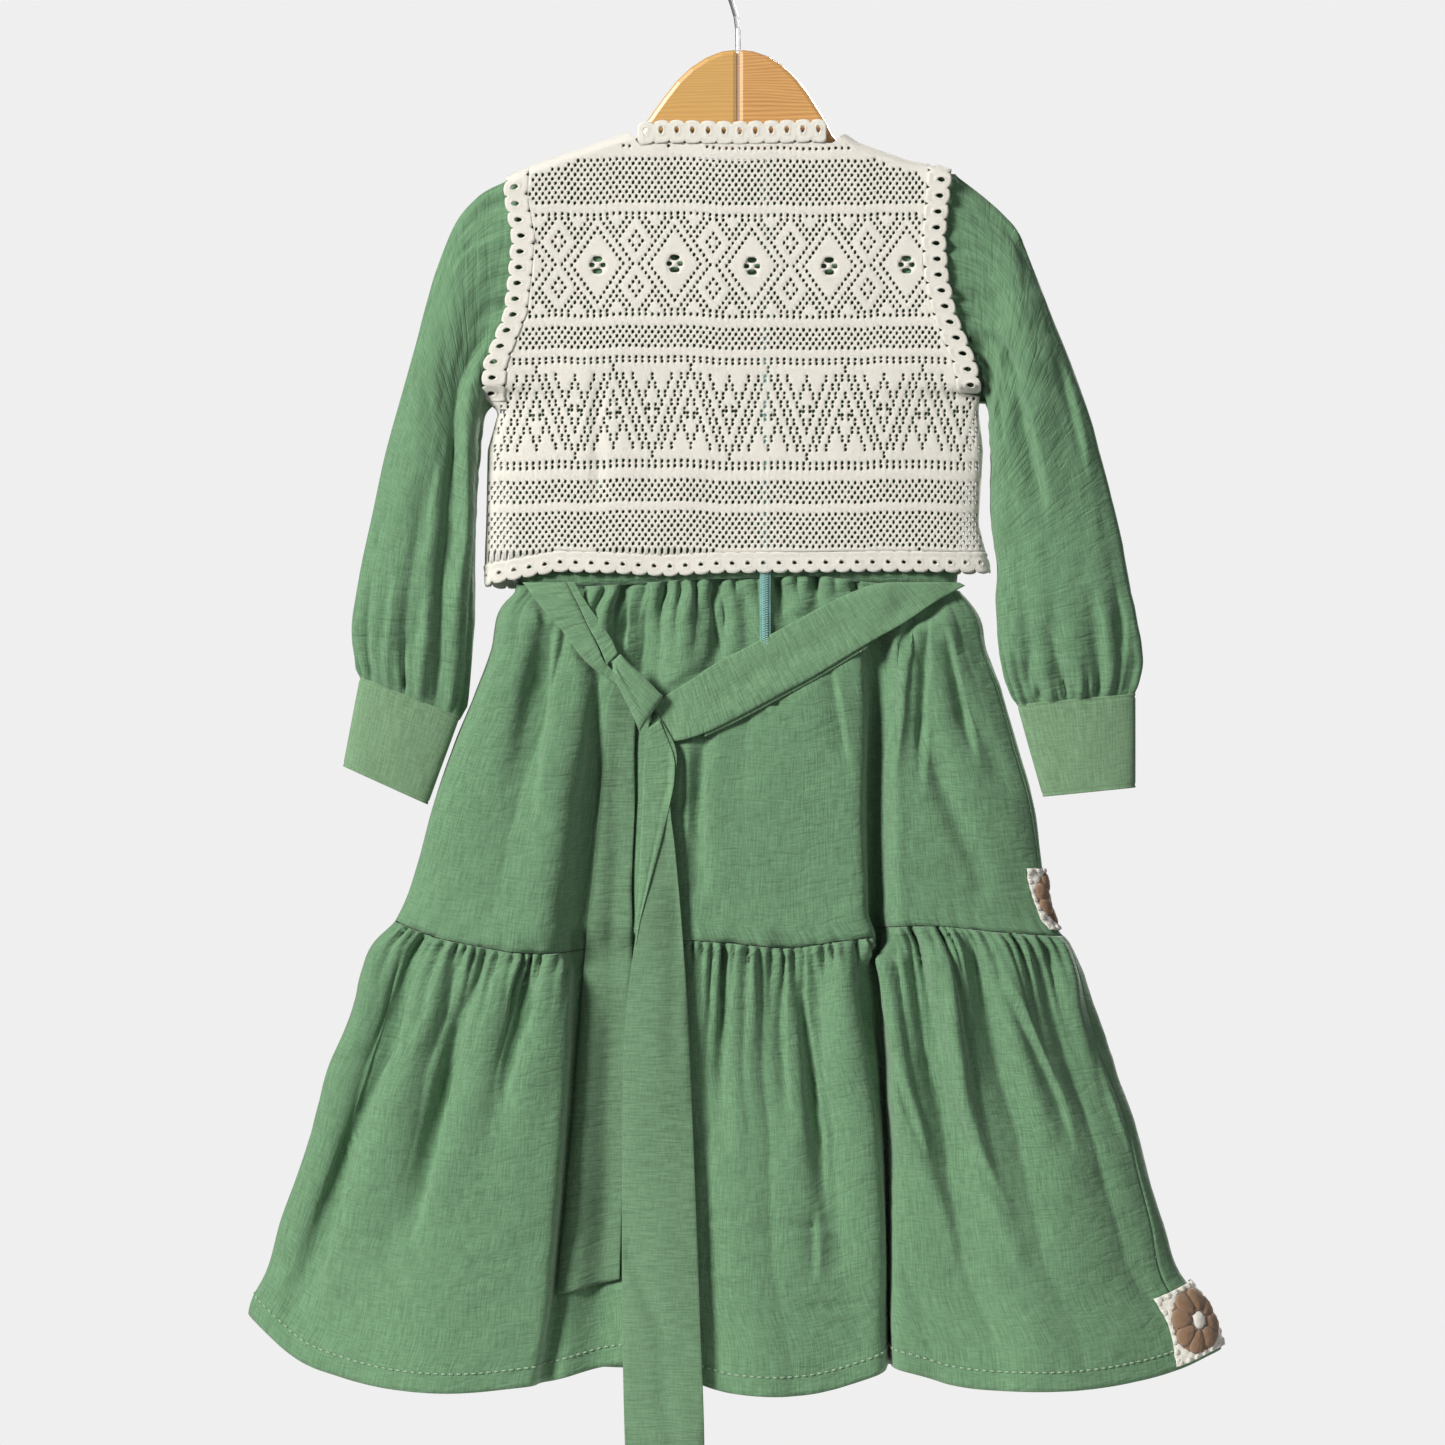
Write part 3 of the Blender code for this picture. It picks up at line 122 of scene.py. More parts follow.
# Large folds, a row per fold: three points down its line, its depth into the skirt at each, and its
# reach to the left and to the right. A negative depth is a ridge
Fold = namedtuple("Fold", "x1 z1 x2 z2 x3 z3 depth1 depth2 depth3 reach_left reach_right lips",
                  defaults=((),))
BACK_FOLDS = [Fold(*row) for row in (
    (-126, -450, -132, -502, -144, -561, 3, 6, 2, 8, 9), (-110, -485, -112, -510, -113, -530, 2, 4, 1, 9, 9),
    (-92, -490, -96, -580, -106, -676, 8, 17, 18, 13, 9),
    (-76, -500, -76, -580, -84, -676, 5, 20, 26, 20, 28), (-71, -441, -75, -465, -76, -490, 4, 5, 3, 6, 9),
    (-61, -470, -60, -490, -58, -512, 3, 6, 3, 14, 14), (-31, -437, -27, -460, -29, -480, 3, 4, 2, 6, 6),
    (-14, -438, -10, -458, -18, -495, 5, 8, 3, 7, 6), (3, -438, 5, -455, 7, -475, 3, 4, 2, 6, 6),
    (26, -438, 28, -455, 30, -470, 4, 4, 2, 6, 6), (47, -436, 49, -450, 50, -462, 4, 4, 2, 6, 6),
    (-23, -530, -27, -580, -27, -632, 3, 8, 4, 9, 6),
    (85, -462, 82, -560, 83, -668, 8, 28, 28, 7, 14, ((-462, 3, 0), (-520, 8, 0), (-668, 8, 0))),
    (111, -460, 109, -500, 108, -545, 4, 5, 2, 5, 5), (122, -452, 123, -545, 156, -632, 4, 6, 3, 7, 9),
    (135, -490, 149, -526, 165, -558, 3, 5, 2, 8, 8), (101, -480, 98, -530, 99, -660, -4, -6, -4, 7, 8),
    (-207, -675, -228, -748, -288, -905, 8, 12, 3, 9, 10),
    (-164, -686, -186, -762, -210, -850, 7, 9, 3, 10, 11),
    (-136, -684, -140, -725, -156, -785, 6, 7, 2, 8, 9),
    (-106, -676, -119, -860, -130, -975, 16, 18, 8, 6, 10,
     ((-676, 3, 0), (-740, 8, 0), (-900, 8, 0), (-975, 2, 0))),
    (-83, -680, -88, -860, -92, -975, 26, 30, 14, 28, 32), (-7, -680, -9, -725, -13, -790, 5, 6, 2, 8, 8),
    (28, -676, 29, -720, 30, -790, 5, 6, 2, 7, 7), (39, -680, 45, -730, 58, -870, 5, 8, 3, 8, 10),
    (84, -668, 93, -774, 97, -975, 27, 30, 32, 10, 8,
     ((-668, 8, 0), (-720, 8, 2), (-774, 9, 8), (-975, 10, 9))),
    (96, -725, 112, -785, 136, -860, -3, -6, -2, 6, 6), (130, -684, 139, -772, 178, -870, -5, -7, -2, 7, 8),
    (162, -678, 178, -730, 198, -790, -4, -6, -2, 8, 8),
    (-205, -760, -200, -870, -198, -975, -1, -8, -13, 55, 60),
    (8, -760, 10, -870, 11, -975, -1, -8, -13, 45, 45),
    (190, -760, 195, -870, 200, -975, -1, -8, -13, 50, 60),
)]
FRONT_FOLDS = [Fold(*row) for row in (
    (-112, -450, -120, -540, -131, -650, 4, 9, 6, 10, 10), (-70, -446, -72, -500, -78, -570, 4, 6, 2, 9, 9),
    (-22, -446, -26, -545, -30, -660, 5, 12, 9, 10, 11), (36, -446, 42, -520, 47, -600, 4, 7, 3, 9, 9),
    (92, -448, 104, -550, 118, -655, 5, 11, 8, 10, 10),
    (-176, -676, -204, -800, -236, -970, 7, 13, 14, 11, 13),
    (-98, -676, -112, -800, -128, -970, 7, 15, 19, 12, 14),
    (-40, -678, -42, -740, -46, -830, 5, 8, 3, 10, 10), (6, -678, 8, -800, 6, -970, 6, 14, 18, 12, 12),
    (70, -678, 78, -750, 90, -850, 5, 9, 3, 10, 10), (124, -676, 142, -800, 158, -970, 7, 16, 20, 12, 13),
    (176, -676, 192, -740, 212, -830, 5, 8, 3, 10, 10),
    (-180, -770, -182, -870, -184, -975, -1, -7, -11, 50, 50),
    (-58, -770, -60, -870, -62, -975, -1, -7, -11, 45, 45),
    (78, -770, 80, -870, 82, -975, -1, -7, -11, 45, 45),
    (208, -770, 214, -870, 220, -975, -1, -7, -11, 45, 50),
)]

# Crisp creases: depth, reach to a side, then the places (x, z) that the line runs through
BACK_CREASES = [
    (5.0, 4.6, -206, -660, -221, -731, -252, -807, -282, -920),
    (5.0, 3.6, -167, -684, -180, -720, -187, -763, -195, -796, -214, -870),
    (3.8, 3.0, -136, -682, -136, -716, -143, -737, -154, -779), (2.0, 2.2, -5, -677, -6, -709, -14, -783),
    (2.2, 2.2, 27, -677, 27, -731, 31, -785), (3.4, 2.6, 40, -677, 40, -705, 47, -753, 52, -796, 55, -846),
    (1.3, 2.2, 47, -839, 47, -893), (2.0, 2.2, 78, -688, 86, -720, 91, -748),
    (2.2, 2.2, 91, -688, 99, -753, 112, -792, 125, -824),
    (3.6, 2.8, 129, -666, 131, -731, 138, -774, 149, -805, 175, -852),
    (2.8, 2.4, 161, -672, 169, -698, 190, -742, 206, -774, 216, -813), (1.8, 2.2, 119, -737, 135, -792),
    (2.6, 2.8, 216, -677, 227, -727, 233, -757, 242, -785, 262, -833, 271, -891),
    (3.4, 4.0, -120, -448, -128, -500, -136, -600), (2.2, 2.0, -72, -444, -74, -465, -77, -486),
    (2.2, 2.0, -18, -436, -15, -462, -13, -488), (2.0, 2.2, 58, -488, 64, -524, 70, -562),
    (3.0, 2.4, 112, -448, 104, -488, 99, -560), (2.8, 2.4, 122, -454, 120, -500, 116, -580),
    (2.8, 2.6, 130, -460, 140, -500, 152, -560), (1.3, 2.0, -37, -538, -37, -579, -37, -618),
    (1.3, 2.0, -24, -538, -24, -579, -24, -618), (1.2, 1.8, 8, -510, 19, -515, 31, -521),
    (1.1, 2.0, -26, -846, -6, -848, 13, -845), (1.3, 2.0, 20, -853, 45, -854, 71, -851),
    (1.1, 2.0, -23, -879, -2, -880, 20, -881), (1.3, 2.0, 32, -904, 60, -906, 86, -905),
    (1.2, 2.0, 145, -873, 160, -876, 176, -879), (1.1, 2.0, 180, -905, 190, -908, 200, -910),
    (1.2, 2.0, -260, -826, -240, -830, -221, -837), (1.2, 2.0, -266, -859, -238, -861, -208, -865),
    (1.1, 2.0, -189, -872, -166, -877, -143, -879), (1.0, 2.0, -176, -826, -164, -823, -153, -821),
]
FRONT_CREASES = [
    (2.4, 2.4, -96, -452, -100, -500, -106, -548), (2.2, 2.2, -46, -450, -44, -482, -50, -526),
    (2.4, 2.2, 12, -450, 18, -494, 20, -540), (2.2, 2.2, 66, -452, 72, -490, 80, -534),
    (2.4, 2.4, 128, -462, 136, -520, 150, -590), (1.3, 2.0, -88, -560, -70, -566, -52, -564),
    (2.8, 2.6, -206, -684, -222, -752, -252, -850), (2.8, 2.4, -138, -682, -146, -736, -168, -812),
    (2.4, 2.2, -70, -682, -68, -742, -74, -806), (3.2, 2.6, 34, -682, 40, -760, 50, -842),
    (2.4, 2.2, 100, -682, 106, -736, 120, -800), (3.0, 2.6, 152, -680, 172, -758, 206, -846),
    (2.6, 2.6, 214, -684, 234, -752, 262, -846), (1.3, 2.0, -30, -852, -4, -856, 24, -852),
    (1.2, 2.0, 96, -868, 126, -872, 150, -870), (1.2, 2.0, -216, -864, -186, -870, -158, -866),
]
LEFT_SLEEVE_CREASES = [
   
    (4.8, 3.4, -150, -257, -162, -271, -174, -293, -181, -311, -184, -331, -184, -359, -185, -410,
     -193, -484),
    (2.0, 2.4, -206, -262, -214, -300, -220, -346), (1.6, 2.2, -196, -356, -203, -392, -206, -430),
    (2.4, 2.2, -226, -430, -230, -462, -232, -492), (2.4, 2.2, -206, -440, -208, -470, -211, -500),
    (1.8, 2.0, -240, -440, -243, -466, -240, -494), (1.2, 2.0, -236, -408, -222, -414, -206, -412),
    (1.4, 2.0, -168, -214, -180, -224, -190, -238),
]
RIGHT_SLEEVE_CREASES = [
    (4.4, 3.4, 160, -270, 174, -290, 180, -304, 182, -310),
    (4.6, 3.4, 167, -304, 176, -311, 182, -324, 185, -341, 191, -364, 198, -397),
    (3.2, 2.4, 200, -462, 205, -486, 211, -513), (2.6, 2.2, 185, -486, 187, -500, 189, -514),
    (2.2, 2.2, 228, -440, 233, -470, 236, -502), (1.8, 2.2, 244, -440, 248, -466, 247, -500),
    (1.8, 2.4, 206, -290, 216, -330, 224, -372), (1.2, 2.0, 196, -426, 214, -432, 232, -428),
    (1.6, 2.0, 172, -206, 184, -220, 193, -240), (3.0, 7.0, 164, -246, 168, -262, 170, -276),
]

# Bodice and overlay outlines with their depth; the edging column is the width that a separate edging
# takes up at that level
Torso = namedtuple("Torso", "z left right depth edging")
BODICE = [Torso(*row) for row in (
    (-140, -141, 128, 9.0, 0), (-178, -141, 127, 9.5, 0), (-205, -139, 124, 10.5, 0),
    (-235, -138, 124, 11.5, 0), (-262, -143, 130, 12.0, 0), (-290, -150, 142, 13.0, 0),
    (-320, -152, 150, 13.0, 0), (-352, -152, 148, 13.5, 0), (-400, -149, 144, 14.5, 0),
    (-437, -146, 141, 15.0, 0), (-446, -146, 141, 15.0, 0),
)]
OVERLAY = [Torso(*row) for row in (
    (-138, -151, 136, 14.0, EDGING), (-174, -151, 136, 15.0, EDGING), (-187, -152, 134.7, 15.6, EDGING),
    (-214, -147, 132, 16.3, EDGING), (-239.4, -149, 133.8, 16.7, EDGING), (-264, -152, 139, 17.0, EDGING),
    (-296, -165, 152, 17.3, EDGING), (-318.5, -167, 156, 17.4, EDGING), (-327, -157, 155, 17.5, 0),
    (-352, -164, 158, 17.8, 0), (-400, -165, 155, 18.4, 0), (-423, -166, 161, 18.8, 0),
    (-436, -166, 164, 19.0, 0),
)]

# Top edges: height of the back's and the front's edge, and 1 where the cloth closes over the shoulder
Top = namedtuple("Top", "x back front closed")
BODICE_TOP = [Top(*row) for row in (
    (-142, -176.2, -176.2, 1), (-134, -171.6, -171.6, 1), (-101, -158.8, -158.8, 1), (-76, -149.6, -149.6, 1),
    (-71, -153, -157, 0), (-50, -162, -195, 0), (0, -165, -212, 0), (50, -162, -195, 0), (65, -153, -157, 0),
    (70, -150.6, -150.6, 1), (77, -155.8, -155.8, 1), (110, -167.6, -167.6, 1), (128, -171.6, -171.6, 1),
)]
OVERLAY_TOP = [Top(*row) for row in (
    (-152, -174.0, -174.0, 1), (-134, -166.4, -166.4, 1), (-101, -154.6, -154.6, 1), (-73, -145.2, -145.2, 1),
    (-65, -141.0, -152, 0), (-48, -139.5, -172, 0), (0, -140.5, -205, 0), (48, -139.0, -172, 0),
    (60, -140.0, -152, 0), (68, -146.0, -146.0, 1), (77, -152.0, -152.0, 1), (110, -163.6, -163.6, 1),
    (137, -168.6, -168.6, 1),
)]

# Rings down each sleeve: its outer and inner ends and half its depth
Ring = namedtuple("Ring", "outer_x outer_z inner_x inner_z depth")
LEFT_SLEEVE = [Ring(*row) for row in (
    (-152, -179, -158, -320, 10), (-162, -182, -164, -324, 11), (-172, -189, -168, -330, 12),
    (-184, -203, -170, -336, 14), (-194, -226, -171, -343, 16), (-203, -254, -172, -352, 17),
    (-211, -284, -173, -365, 18), (-220, -316, -174, -380, 18), (-230, -352, -174, -398, 18),
    (-237, -384, -174, -418, 18), (-250, -449, -174, -458, 18), (-252, -475, -175, -492, 15),
    (-247, -498, -181, -524, 9), (-245.4, -502.5, -185.2, -527.5, 6.0),
)]
RIGHT_SLEEVE = [Ring(*row) for row in (
    (138, -175, 155, -320, 10), (148, -180, 159, -322, 11), (161, -190, 161, -326, 12),
    (172, -200, 162, -331, 14), (181, -211, 162, -338, 16), (191, -235, 162, -350, 17),
    (203, -266, 162, -364, 18), (216, -298, 162, -380, 18), (228, -333, 163, -400, 18),
    (240, -379, 166, -425, 18), (250, -423, 166, -452, 18), (258, -468, 169, -482, 17),
    (261, -490, 172, -500, 14), (257, -509, 179, -516, 9), (254.4, -514, 182.8, -521, 6.0),
)]
LEFT_CUFF = [Ring(-247, -499, -181.5, -525, 9), Ring(-258, -557, -203, -582, 9)]
RIGHT_CUFF = [Ring(257, -510, 179.5, -517, 9), Ring(257, -571, 197, -577, 9)]

# Sash strips: their two edges at each row, and the lift of the underside off the skirt
Strip = namedtuple("Strip", "x_a z_a x_b z_b lift")
STRAND_RIGHT = [Strip(*row) for row in (
    (146, -440, 142, -438, -0.4), (126, -451, 113, -438, 0.6), (105, -465, 88, -439, 0.3),
    (82, -478, 62, -449, -0.1), (49, -498, 34, -464, 0.4), (25, -511, 8, -478, 1.0),
    (-1, -525, -15, -490, 1.0), (-24, -536, -33, -502, 1.0), (-42, -541, -49, -512, 1.0),
    (-52, -540, -56, -519, 1.0),
)]
STRAND_LEFT = [Strip(*row) for row in (
    (-141, -438, -112, -438, -0.4), (-128, -455, -105, -452, -0.6), (-114, -471, -98, -467, -0.4),
    (-103, -486, -92, -479, 0.2), (-92, -496, -87, -490, 0.8), (-78, -505, -77, -499, 1.6),
)]
STRAND_NARROW = [Strip(*row) for row in (
    (-112, -438, -107, -438, 3.0), (-104, -454, -98, -453, 2.8), (-98, -467, -90, -464, 2.8),
    (-91, -480, -83, -475, 3.0), (-86, -492, -79, -484, 3.6),
)]
TAIL_SHORT = [Strip(*row) for row in (
    (-80, -500, -64, -503, 0.3), (-86, -518, -67, -518, 0.3), (-88, -543, -68, -543, 0.2),
    (-91, -579, -68, -579, 0.2), (-96, -630, -70, -630, 0.0), (-101, -683, -70, -683, 0.4),
    (-110, -800, -75, -798, 0.4), (-119, -899, -78, -889, 0.4),
)]
TAIL_LONG = [Strip(*row) for row in (
    (-59, -530, -54, -522, 3.2), (-62, -552, -41, -548, 3.4), (-63, -579, -45, -580, 3.6),
    (-64, -610, -42, -610, 3.8), (-66, -654, -38, -654, 4.0), (-73, -709, -34, -709, 4.0),
    (-76, -774, -31, -774, 4.0), (-76, -904, -26, -904, 4.0), (-74, -998, -23, -998, 4.0),
    (-71, -1036, -27, -1032, 4.0),
)]

HemSpot = namedtuple("HemSpot", "x back front")
HEM_LINE = [HemSpot(*row) for row in (
    (-167, -439, -439), (-152, -436, -441), (-118, -430, -436), (-84, -431, -434), (-48, -433, -434),
    (-13, -431, -434), (97, -430, -433), (164, -430.5, -430.5),
)]


# ---- numbers ----

def columns_of(table, names):
    return [np.array([getattr(row, name) for row in table], float) for name in names]


def read(table, key, name, where):
    """Value of a column at places along the key column, on a smooth curve through the rows."""
    keys, values = columns_of(table, (key, name))
    if keys[0] > keys[-1]:
        keys, values = keys[::-1], values[::-1]
    return smooth_line(keys, values, where)


def smooth_line(keys, values, where):
    slopes = np.gradient(values, keys)
    place = np.clip(where, keys[0], keys[-1])
    low = np.clip(np.searchsorted(keys, place) - 1, 0, len(keys) - 2)
    span = keys[low + 1] - keys[low]
    t = (place - keys[low]) / span
    start = (1 + 2 * t) * (1 - t) ** 2 * values[low] + t * (1 - t) ** 2 * span * slopes[low]
    end = t * t * (3 - 2 * t) * values[low + 1] + t * t * (t - 1) * span * slopes[low + 1]
    return start + end


def straight(table, key, name, where):
    """Value of a column at places along the key column, on straight runs between the rows."""
    keys, values = columns_of(table, (key, name))
    order = np.argsort(keys)
    return np.interp(where, keys[order], values[order])


def ease(value):
    held = np.clip(value, 0.0, 1.0)
    return held * held * (3 - 2 * held)


def scatter(index, salt):
    """A fixed number from 0 to 1 for each whole index."""
    return np.mod(np.sin(np.asarray(index, float) * 12.9898 + salt * 78.233) * 43758.5453, 1.0)


def wander(place, salt):
    """Smooth line through scattered values, from 0 to 1."""
    low = np.floor(place)
    t = ease(place - low)
    return scatter(low, salt) * (1 - t) + scatter(low + 1, salt) * t


def rumple(u, v, salt):
    """Smooth field through scattered values, from -1 to 1."""
    a, b = np.floor(u), np.floor(v)
    s, t = ease(u - a), ease(v - b)

    def corner(i, j):
        return scatter(i * 57.0 + j * 113.0, salt)

    near = corner(a, b) * (1 - s) + corner(a + 1, b) * s
    far = corner(a, b + 1) * (1 - s) + corner(a + 1, b + 1) * s
    return 2 * (near * (1 - t) + far * t) - 1


def bulge(share):
    """Depth of a flattened tube across its width, as a part of its largest depth."""
    return (1 - np.abs(2 * np.clip(share, 0, 1) - 1) ** 3) ** (1 / 3)


# ---- materials ----

class Nodes:
    """Short hand for building a material's node tree."""

    def __init__(self, name, roughness, sheen=0.0, metallic=0.0):
        self.material = bpy.data.materials.new(name)
        self.material.use_nodes = True
        self.tree = self.material.node_tree
        self.shader = self.tree.nodes["Principled BSDF"]
        self.shader.inputs["Roughness"].default_value = roughness
        self.shader.inputs["Metallic"].default_value = metallic
        self.shader.inputs["Sheen Weight"].default_value = sheen
        self.shader.inputs["Sheen Roughness"].default_value = 0.6

    def put(self, socket, value):
        if isinstance(value, bpy.types.NodeSocket):
            self.tree.links.new(value, socket)
        else:
            socket.default_value = value

    def node(self, kind, settings=(), **inputs):
        made = self.tree.nodes.new(kind)
        for key, value in dict(settings).items():
            setattr(made, key, value)
        for key, value in inputs.items():
            self.put(made.inputs[key.replace("_", " ")], value)
        return made

    def cloth_place(self, across, down, turn=0.0):
        """Place on the cloth in waves per millimetre across and down it."""
        source = self.node("ShaderNodeUVMap", {"uv_map": "cloth"})
        return self.node("ShaderNodeMapping", Vector=source.outputs[0], Rotation=(0, 0, turn),
                         Scale=(across / MM, down / MM, 1)).outputs[0]

    def solid_place(self, x, y, z):
        source = self.node("ShaderNodeTexCoord")
        return self.node("ShaderNodeMapping", Vector=source.outputs["Object"],
                         Scale=(x / MM, y / MM, z / MM)).outputs[0]

    def noise(self, place, scale=1.0, detail=2.0, rough=0.5):
        return self.node("ShaderNodeTexNoise", Vector=place, Scale=scale, Detail=detail,
                         Roughness=rough).outputs[0]

    def math(self, operation, a, b=0.0):
        made = self.node("ShaderNodeMath", {"operation": operation})
        for socket, value in zip(made.inputs, (a, b)):
            self.put(socket, value)
        return made.outputs[0]

    def levels(self, value, low, high, to_low=0.0, to_high=1.0):
        made = self.node("ShaderNodeMapRange", Value=value)
        for key, number in (("From Min", low), ("From Max", high), ("To Min", to_low), ("To Max", to_high)):
            made.inputs[key].default_value = number
        return made.outputs[0]

    def mix(self, share, a, b):
        made = self.node("ShaderNodeMix", {"data_type": "RGBA"})
        self.put(made.inputs[0], share)
        self.put(made.inputs[6], a)
        self.put(made.inputs[7], b)
        return made.outputs[2]

    def bump(self, height, distance, strength=1.0):
        made = self.node("ShaderNodeBump", Height=height, Distance=distance * MM, Strength=strength)
        self.put(self.shader.inputs["Normal"], made.outputs[0])

    def colour(self, value):
        self.put(self.shader.inputs["Base Color"], value)


def tone(colour, factor):
    return (*(min(c * factor, 1.0) for c in colour), 1.0)


def linen(name, colour, slub=1.0, turn=False):
    """Slubby plain weave: long thick threads one way, shorter ones the other way, and a fine tooth; its
    colour is darker where the threads lie low, partly their own uneven tone and partly painted shade in the
    gaps.
    """
    m = Nodes(name, 0.92, sheen=0.2)
    long_way = (0.07, 1.0) if turn else (1.0, 0.07)
    short_way = (1.0, 0.12) if turn else (0.12, 1.0)
    warp = m.noise(m.cloth_place(*long_way), detail=3, rough=0.6)
    weft = m.noise(m.cloth_place(*short_way), detail=3, rough=0.6)
    tooth = m.noise(m.cloth_place(1.7, 1.7), detail=2)
    cloud = m.noise(m.cloth_place(0.012, 0.010), detail=3, rough=0.6)
    crinkle = m.noise(m.cloth_place(0.028, 0.10), detail=3, rough=0.5)
    crinkle = m.math("ABSOLUTE", m.math("SUBTRACT", crinkle, 0.5))
    threads = m.math("ADD", m.levels(warp, 0.34, 0.66, 0, 0.6), m.levels(weft, 0.34, 0.66, 0, 0.4))
    height = m.math("ADD", m.math("MULTIPLY", m.math("ADD", threads, tooth), 0.13 * slub),
                    m.math("MULTIPLY", m.math("MINIMUM", crinkle, 0.10), 3.2 * slub))
    m.bump(height, 1.0)
    # Colour follows the threads' height: darker and greener where they lie low, partly the linen's own uneven
    # tone and partly painted shade in the gaps between threads; lighter on their tops.
    gaps = m.levels(m.math("ADD", threads, m.math("MULTIPLY", tooth, 0.5)), 0.42, 1.05)
    thread_tone_and_gap_shade = m.mix(gaps, tone((colour[0] * 0.86, colour[1], colour[2] * 0.86), 0.66), tone(colour, 1.14))
    m.colour(m.mix(m.levels(cloud, 0.3, 0.7, 0.0, 0.35), thread_tone_and_gap_shade, tone(colour, 1.08)))
    return m.material


def crochet_cotton(name, colour, dark):
    """Matt cotton yarn with a fine twist, painted darker toward the low rims of its stitches as shade."""
    m = Nodes(name, 0.95, sheen=0.3)
    twist = m.noise(m.solid_place(1.5, 1.5, 1.5), detail=2)
    stitch = m.node("ShaderNodeTexVoronoi", Vector=m.solid_place(0.75, 0.75, 0.75)).outputs[0]
    cloud = m.noise(m.solid_place(0.012, 0.012, 0.012), detail=2)
    height = m.math("ADD", m.math("MULTIPLY", twist, 0.5), m.levels(stitch, 0.0, 0.8, 1.0, 0.0))
    m.bump(height, 0.35)
    # The second colour goes where the stitch cells lie lowest, at their rims: painted shade between the
    # stitches.
    shade = m.mix(m.levels(stitch, 0.1, 0.75), tone(colour, 1.03), dark)
    m.colour(m.mix(m.levels(cloud, 0.45, 0.75, 0.0, 0.35), shade, tone(colour, 0.9)))
    return m.material


def wood(name, light, dark):
    """Lacquered wood with its grain along the arm."""
    m = Nodes(name, 0.38)
    m.shader.inputs["Coat Weight"].default_value = 0.25
    m.shader.inputs["Coat Roughness"].default_value = 0.25
    place = m.solid_place(0.012, 0.16, 0.16)
    warp = m.noise(m.solid_place(0.006, 0.02, 0.02), detail=2)
    bent = m.node("ShaderNodeVectorMath", {"operation": "ADD"})
    m.put(bent.inputs[0], place)
    m.put(bent.inputs[1], m.node("ShaderNodeCombineXYZ", Z=m.math("MULTIPLY", warp, 3.5)).outputs[0])
    rings = m.node("ShaderNodeTexWave", {"bands_direction": "Z"}, Vector=bent.outputs[0], Scale=0.9,
                   Distortion=2.5, Detail=3.0, Detail_Scale=1.5).outputs[1]
    pores = m.noise(m.solid_place(0.05, 1.2, 1.2), detail=2)
    shade = m.math("ADD", m.math("MULTIPLY", rings, 0.75), m.levels(pores, 0.35, 0.7, 0, 0.35))
    m.colour(m.mix(shade, light, dark))
    m.bump(pores, 0.03)
    return m.material


GREEN = (0.104, 0.212, 0.110)
SASH_GREEN = (0.120, 0.232, 0.122)
CUFF_GREEN = (0.140, 0.245, 0.133)
CREAM = (0.95, 0.92, 0.82)
BROWN = (0.37, 0.205, 0.10)

LINEN = linen("green_linen_slub", GREEN)
SLEEVE_LINEN = linen("green_linen_sleeve", GREEN)
SASH = linen("pale_green_sash", SASH_GREEN, 0.9, turn=True)
# The tails' cloth is the sash's green darkened to about three quarters: painted shade for the tails that hang
# below the knot.
SHADED_TAIL_LINEN = linen("tail_linen_painted_shade", (0.091, 0.176, 0.093), 0.9, turn=True)
CUFF = linen("pale_green_cuff", CUFF_GREEN, 0.35)
# Each yarn's second colour is its painted shade between stitches.
LACE = crochet_cotton("cream_cotton_lace", CREAM, tone(CREAM, 0.80))
BROWN_YARN = crochet_cotton("brown_yarn", BROWN, tone(BROWN, 0.55))
THREAD = crochet_cotton("pale_green_thread", (0.36, 0.52, 0.34), (0.26, 0.42, 0.25, 1))


# ---- meshes ----

def face_out(mesh):
    """Turns the faces of a closed mesh so that they point out."""
    solid = bmesh.new()
    solid.from_mesh(mesh)
    if solid.calc_volume(signed=True) < 0:
        bmesh.ops.reverse_faces(solid, faces=solid.faces)
        solid.to_mesh(mesh)
    solid.free()


def by_side(table, back, x):
    """Height of a top or hem line at places on the back or on the front."""
    return np.where(back, straight(table, "x", "back", x), straight(table, "x", "front", x))


def run_along(line):
    """Length along a line of points from its first point to each of them."""
    return np.concatenate([[0], np.cumsum(np.linalg.norm(np.diff(line, axis=0), axis=1))])


def at_lengths(line, run, where):
    """Points at given lengths along a line of points."""
    return np.stack([np.interp(where, run, values) for values in line.T], axis=-1)


def swing(turn):
    """Share of the width reached at a turn round a flattened tube: 0 at one end, 1 at the other."""
    return 0.5 - 0.5 * np.cos(turn)


def new_mesh(name, points, faces, uv):
    """Mesh from points in millimetres, faces as rows of indices and each point's place on the cloth."""
    sizes = [len(face) for face in faces]
    corners = np.array([k for face in faces for k in face], np.int32)
    mesh = bpy.data.meshes.new(name)
    mesh.vertices.add(len(points))
    mesh.vertices.foreach_set("co", (np.asarray(points, float) * MM).astype(np.float32).ravel())
    mesh.loops.add(len(corners))
    mesh.loops.foreach_set("vertex_index", corners)
    mesh.polygons.add(len(sizes))
    mesh.polygons.foreach_set("loop_start", np.concatenate([[0], np.cumsum(sizes)[:-1]]).astype(np.int32))
    mesh.update(calc_edges=True)
    if uv is not None:
        layer = mesh.uv_layers.new(name="cloth")
        layer.data.foreach_set("uv", (np.asarray(uv, float)[corners] * MM).astype(np.float32).ravel())
    mesh.validate()
    return mesh


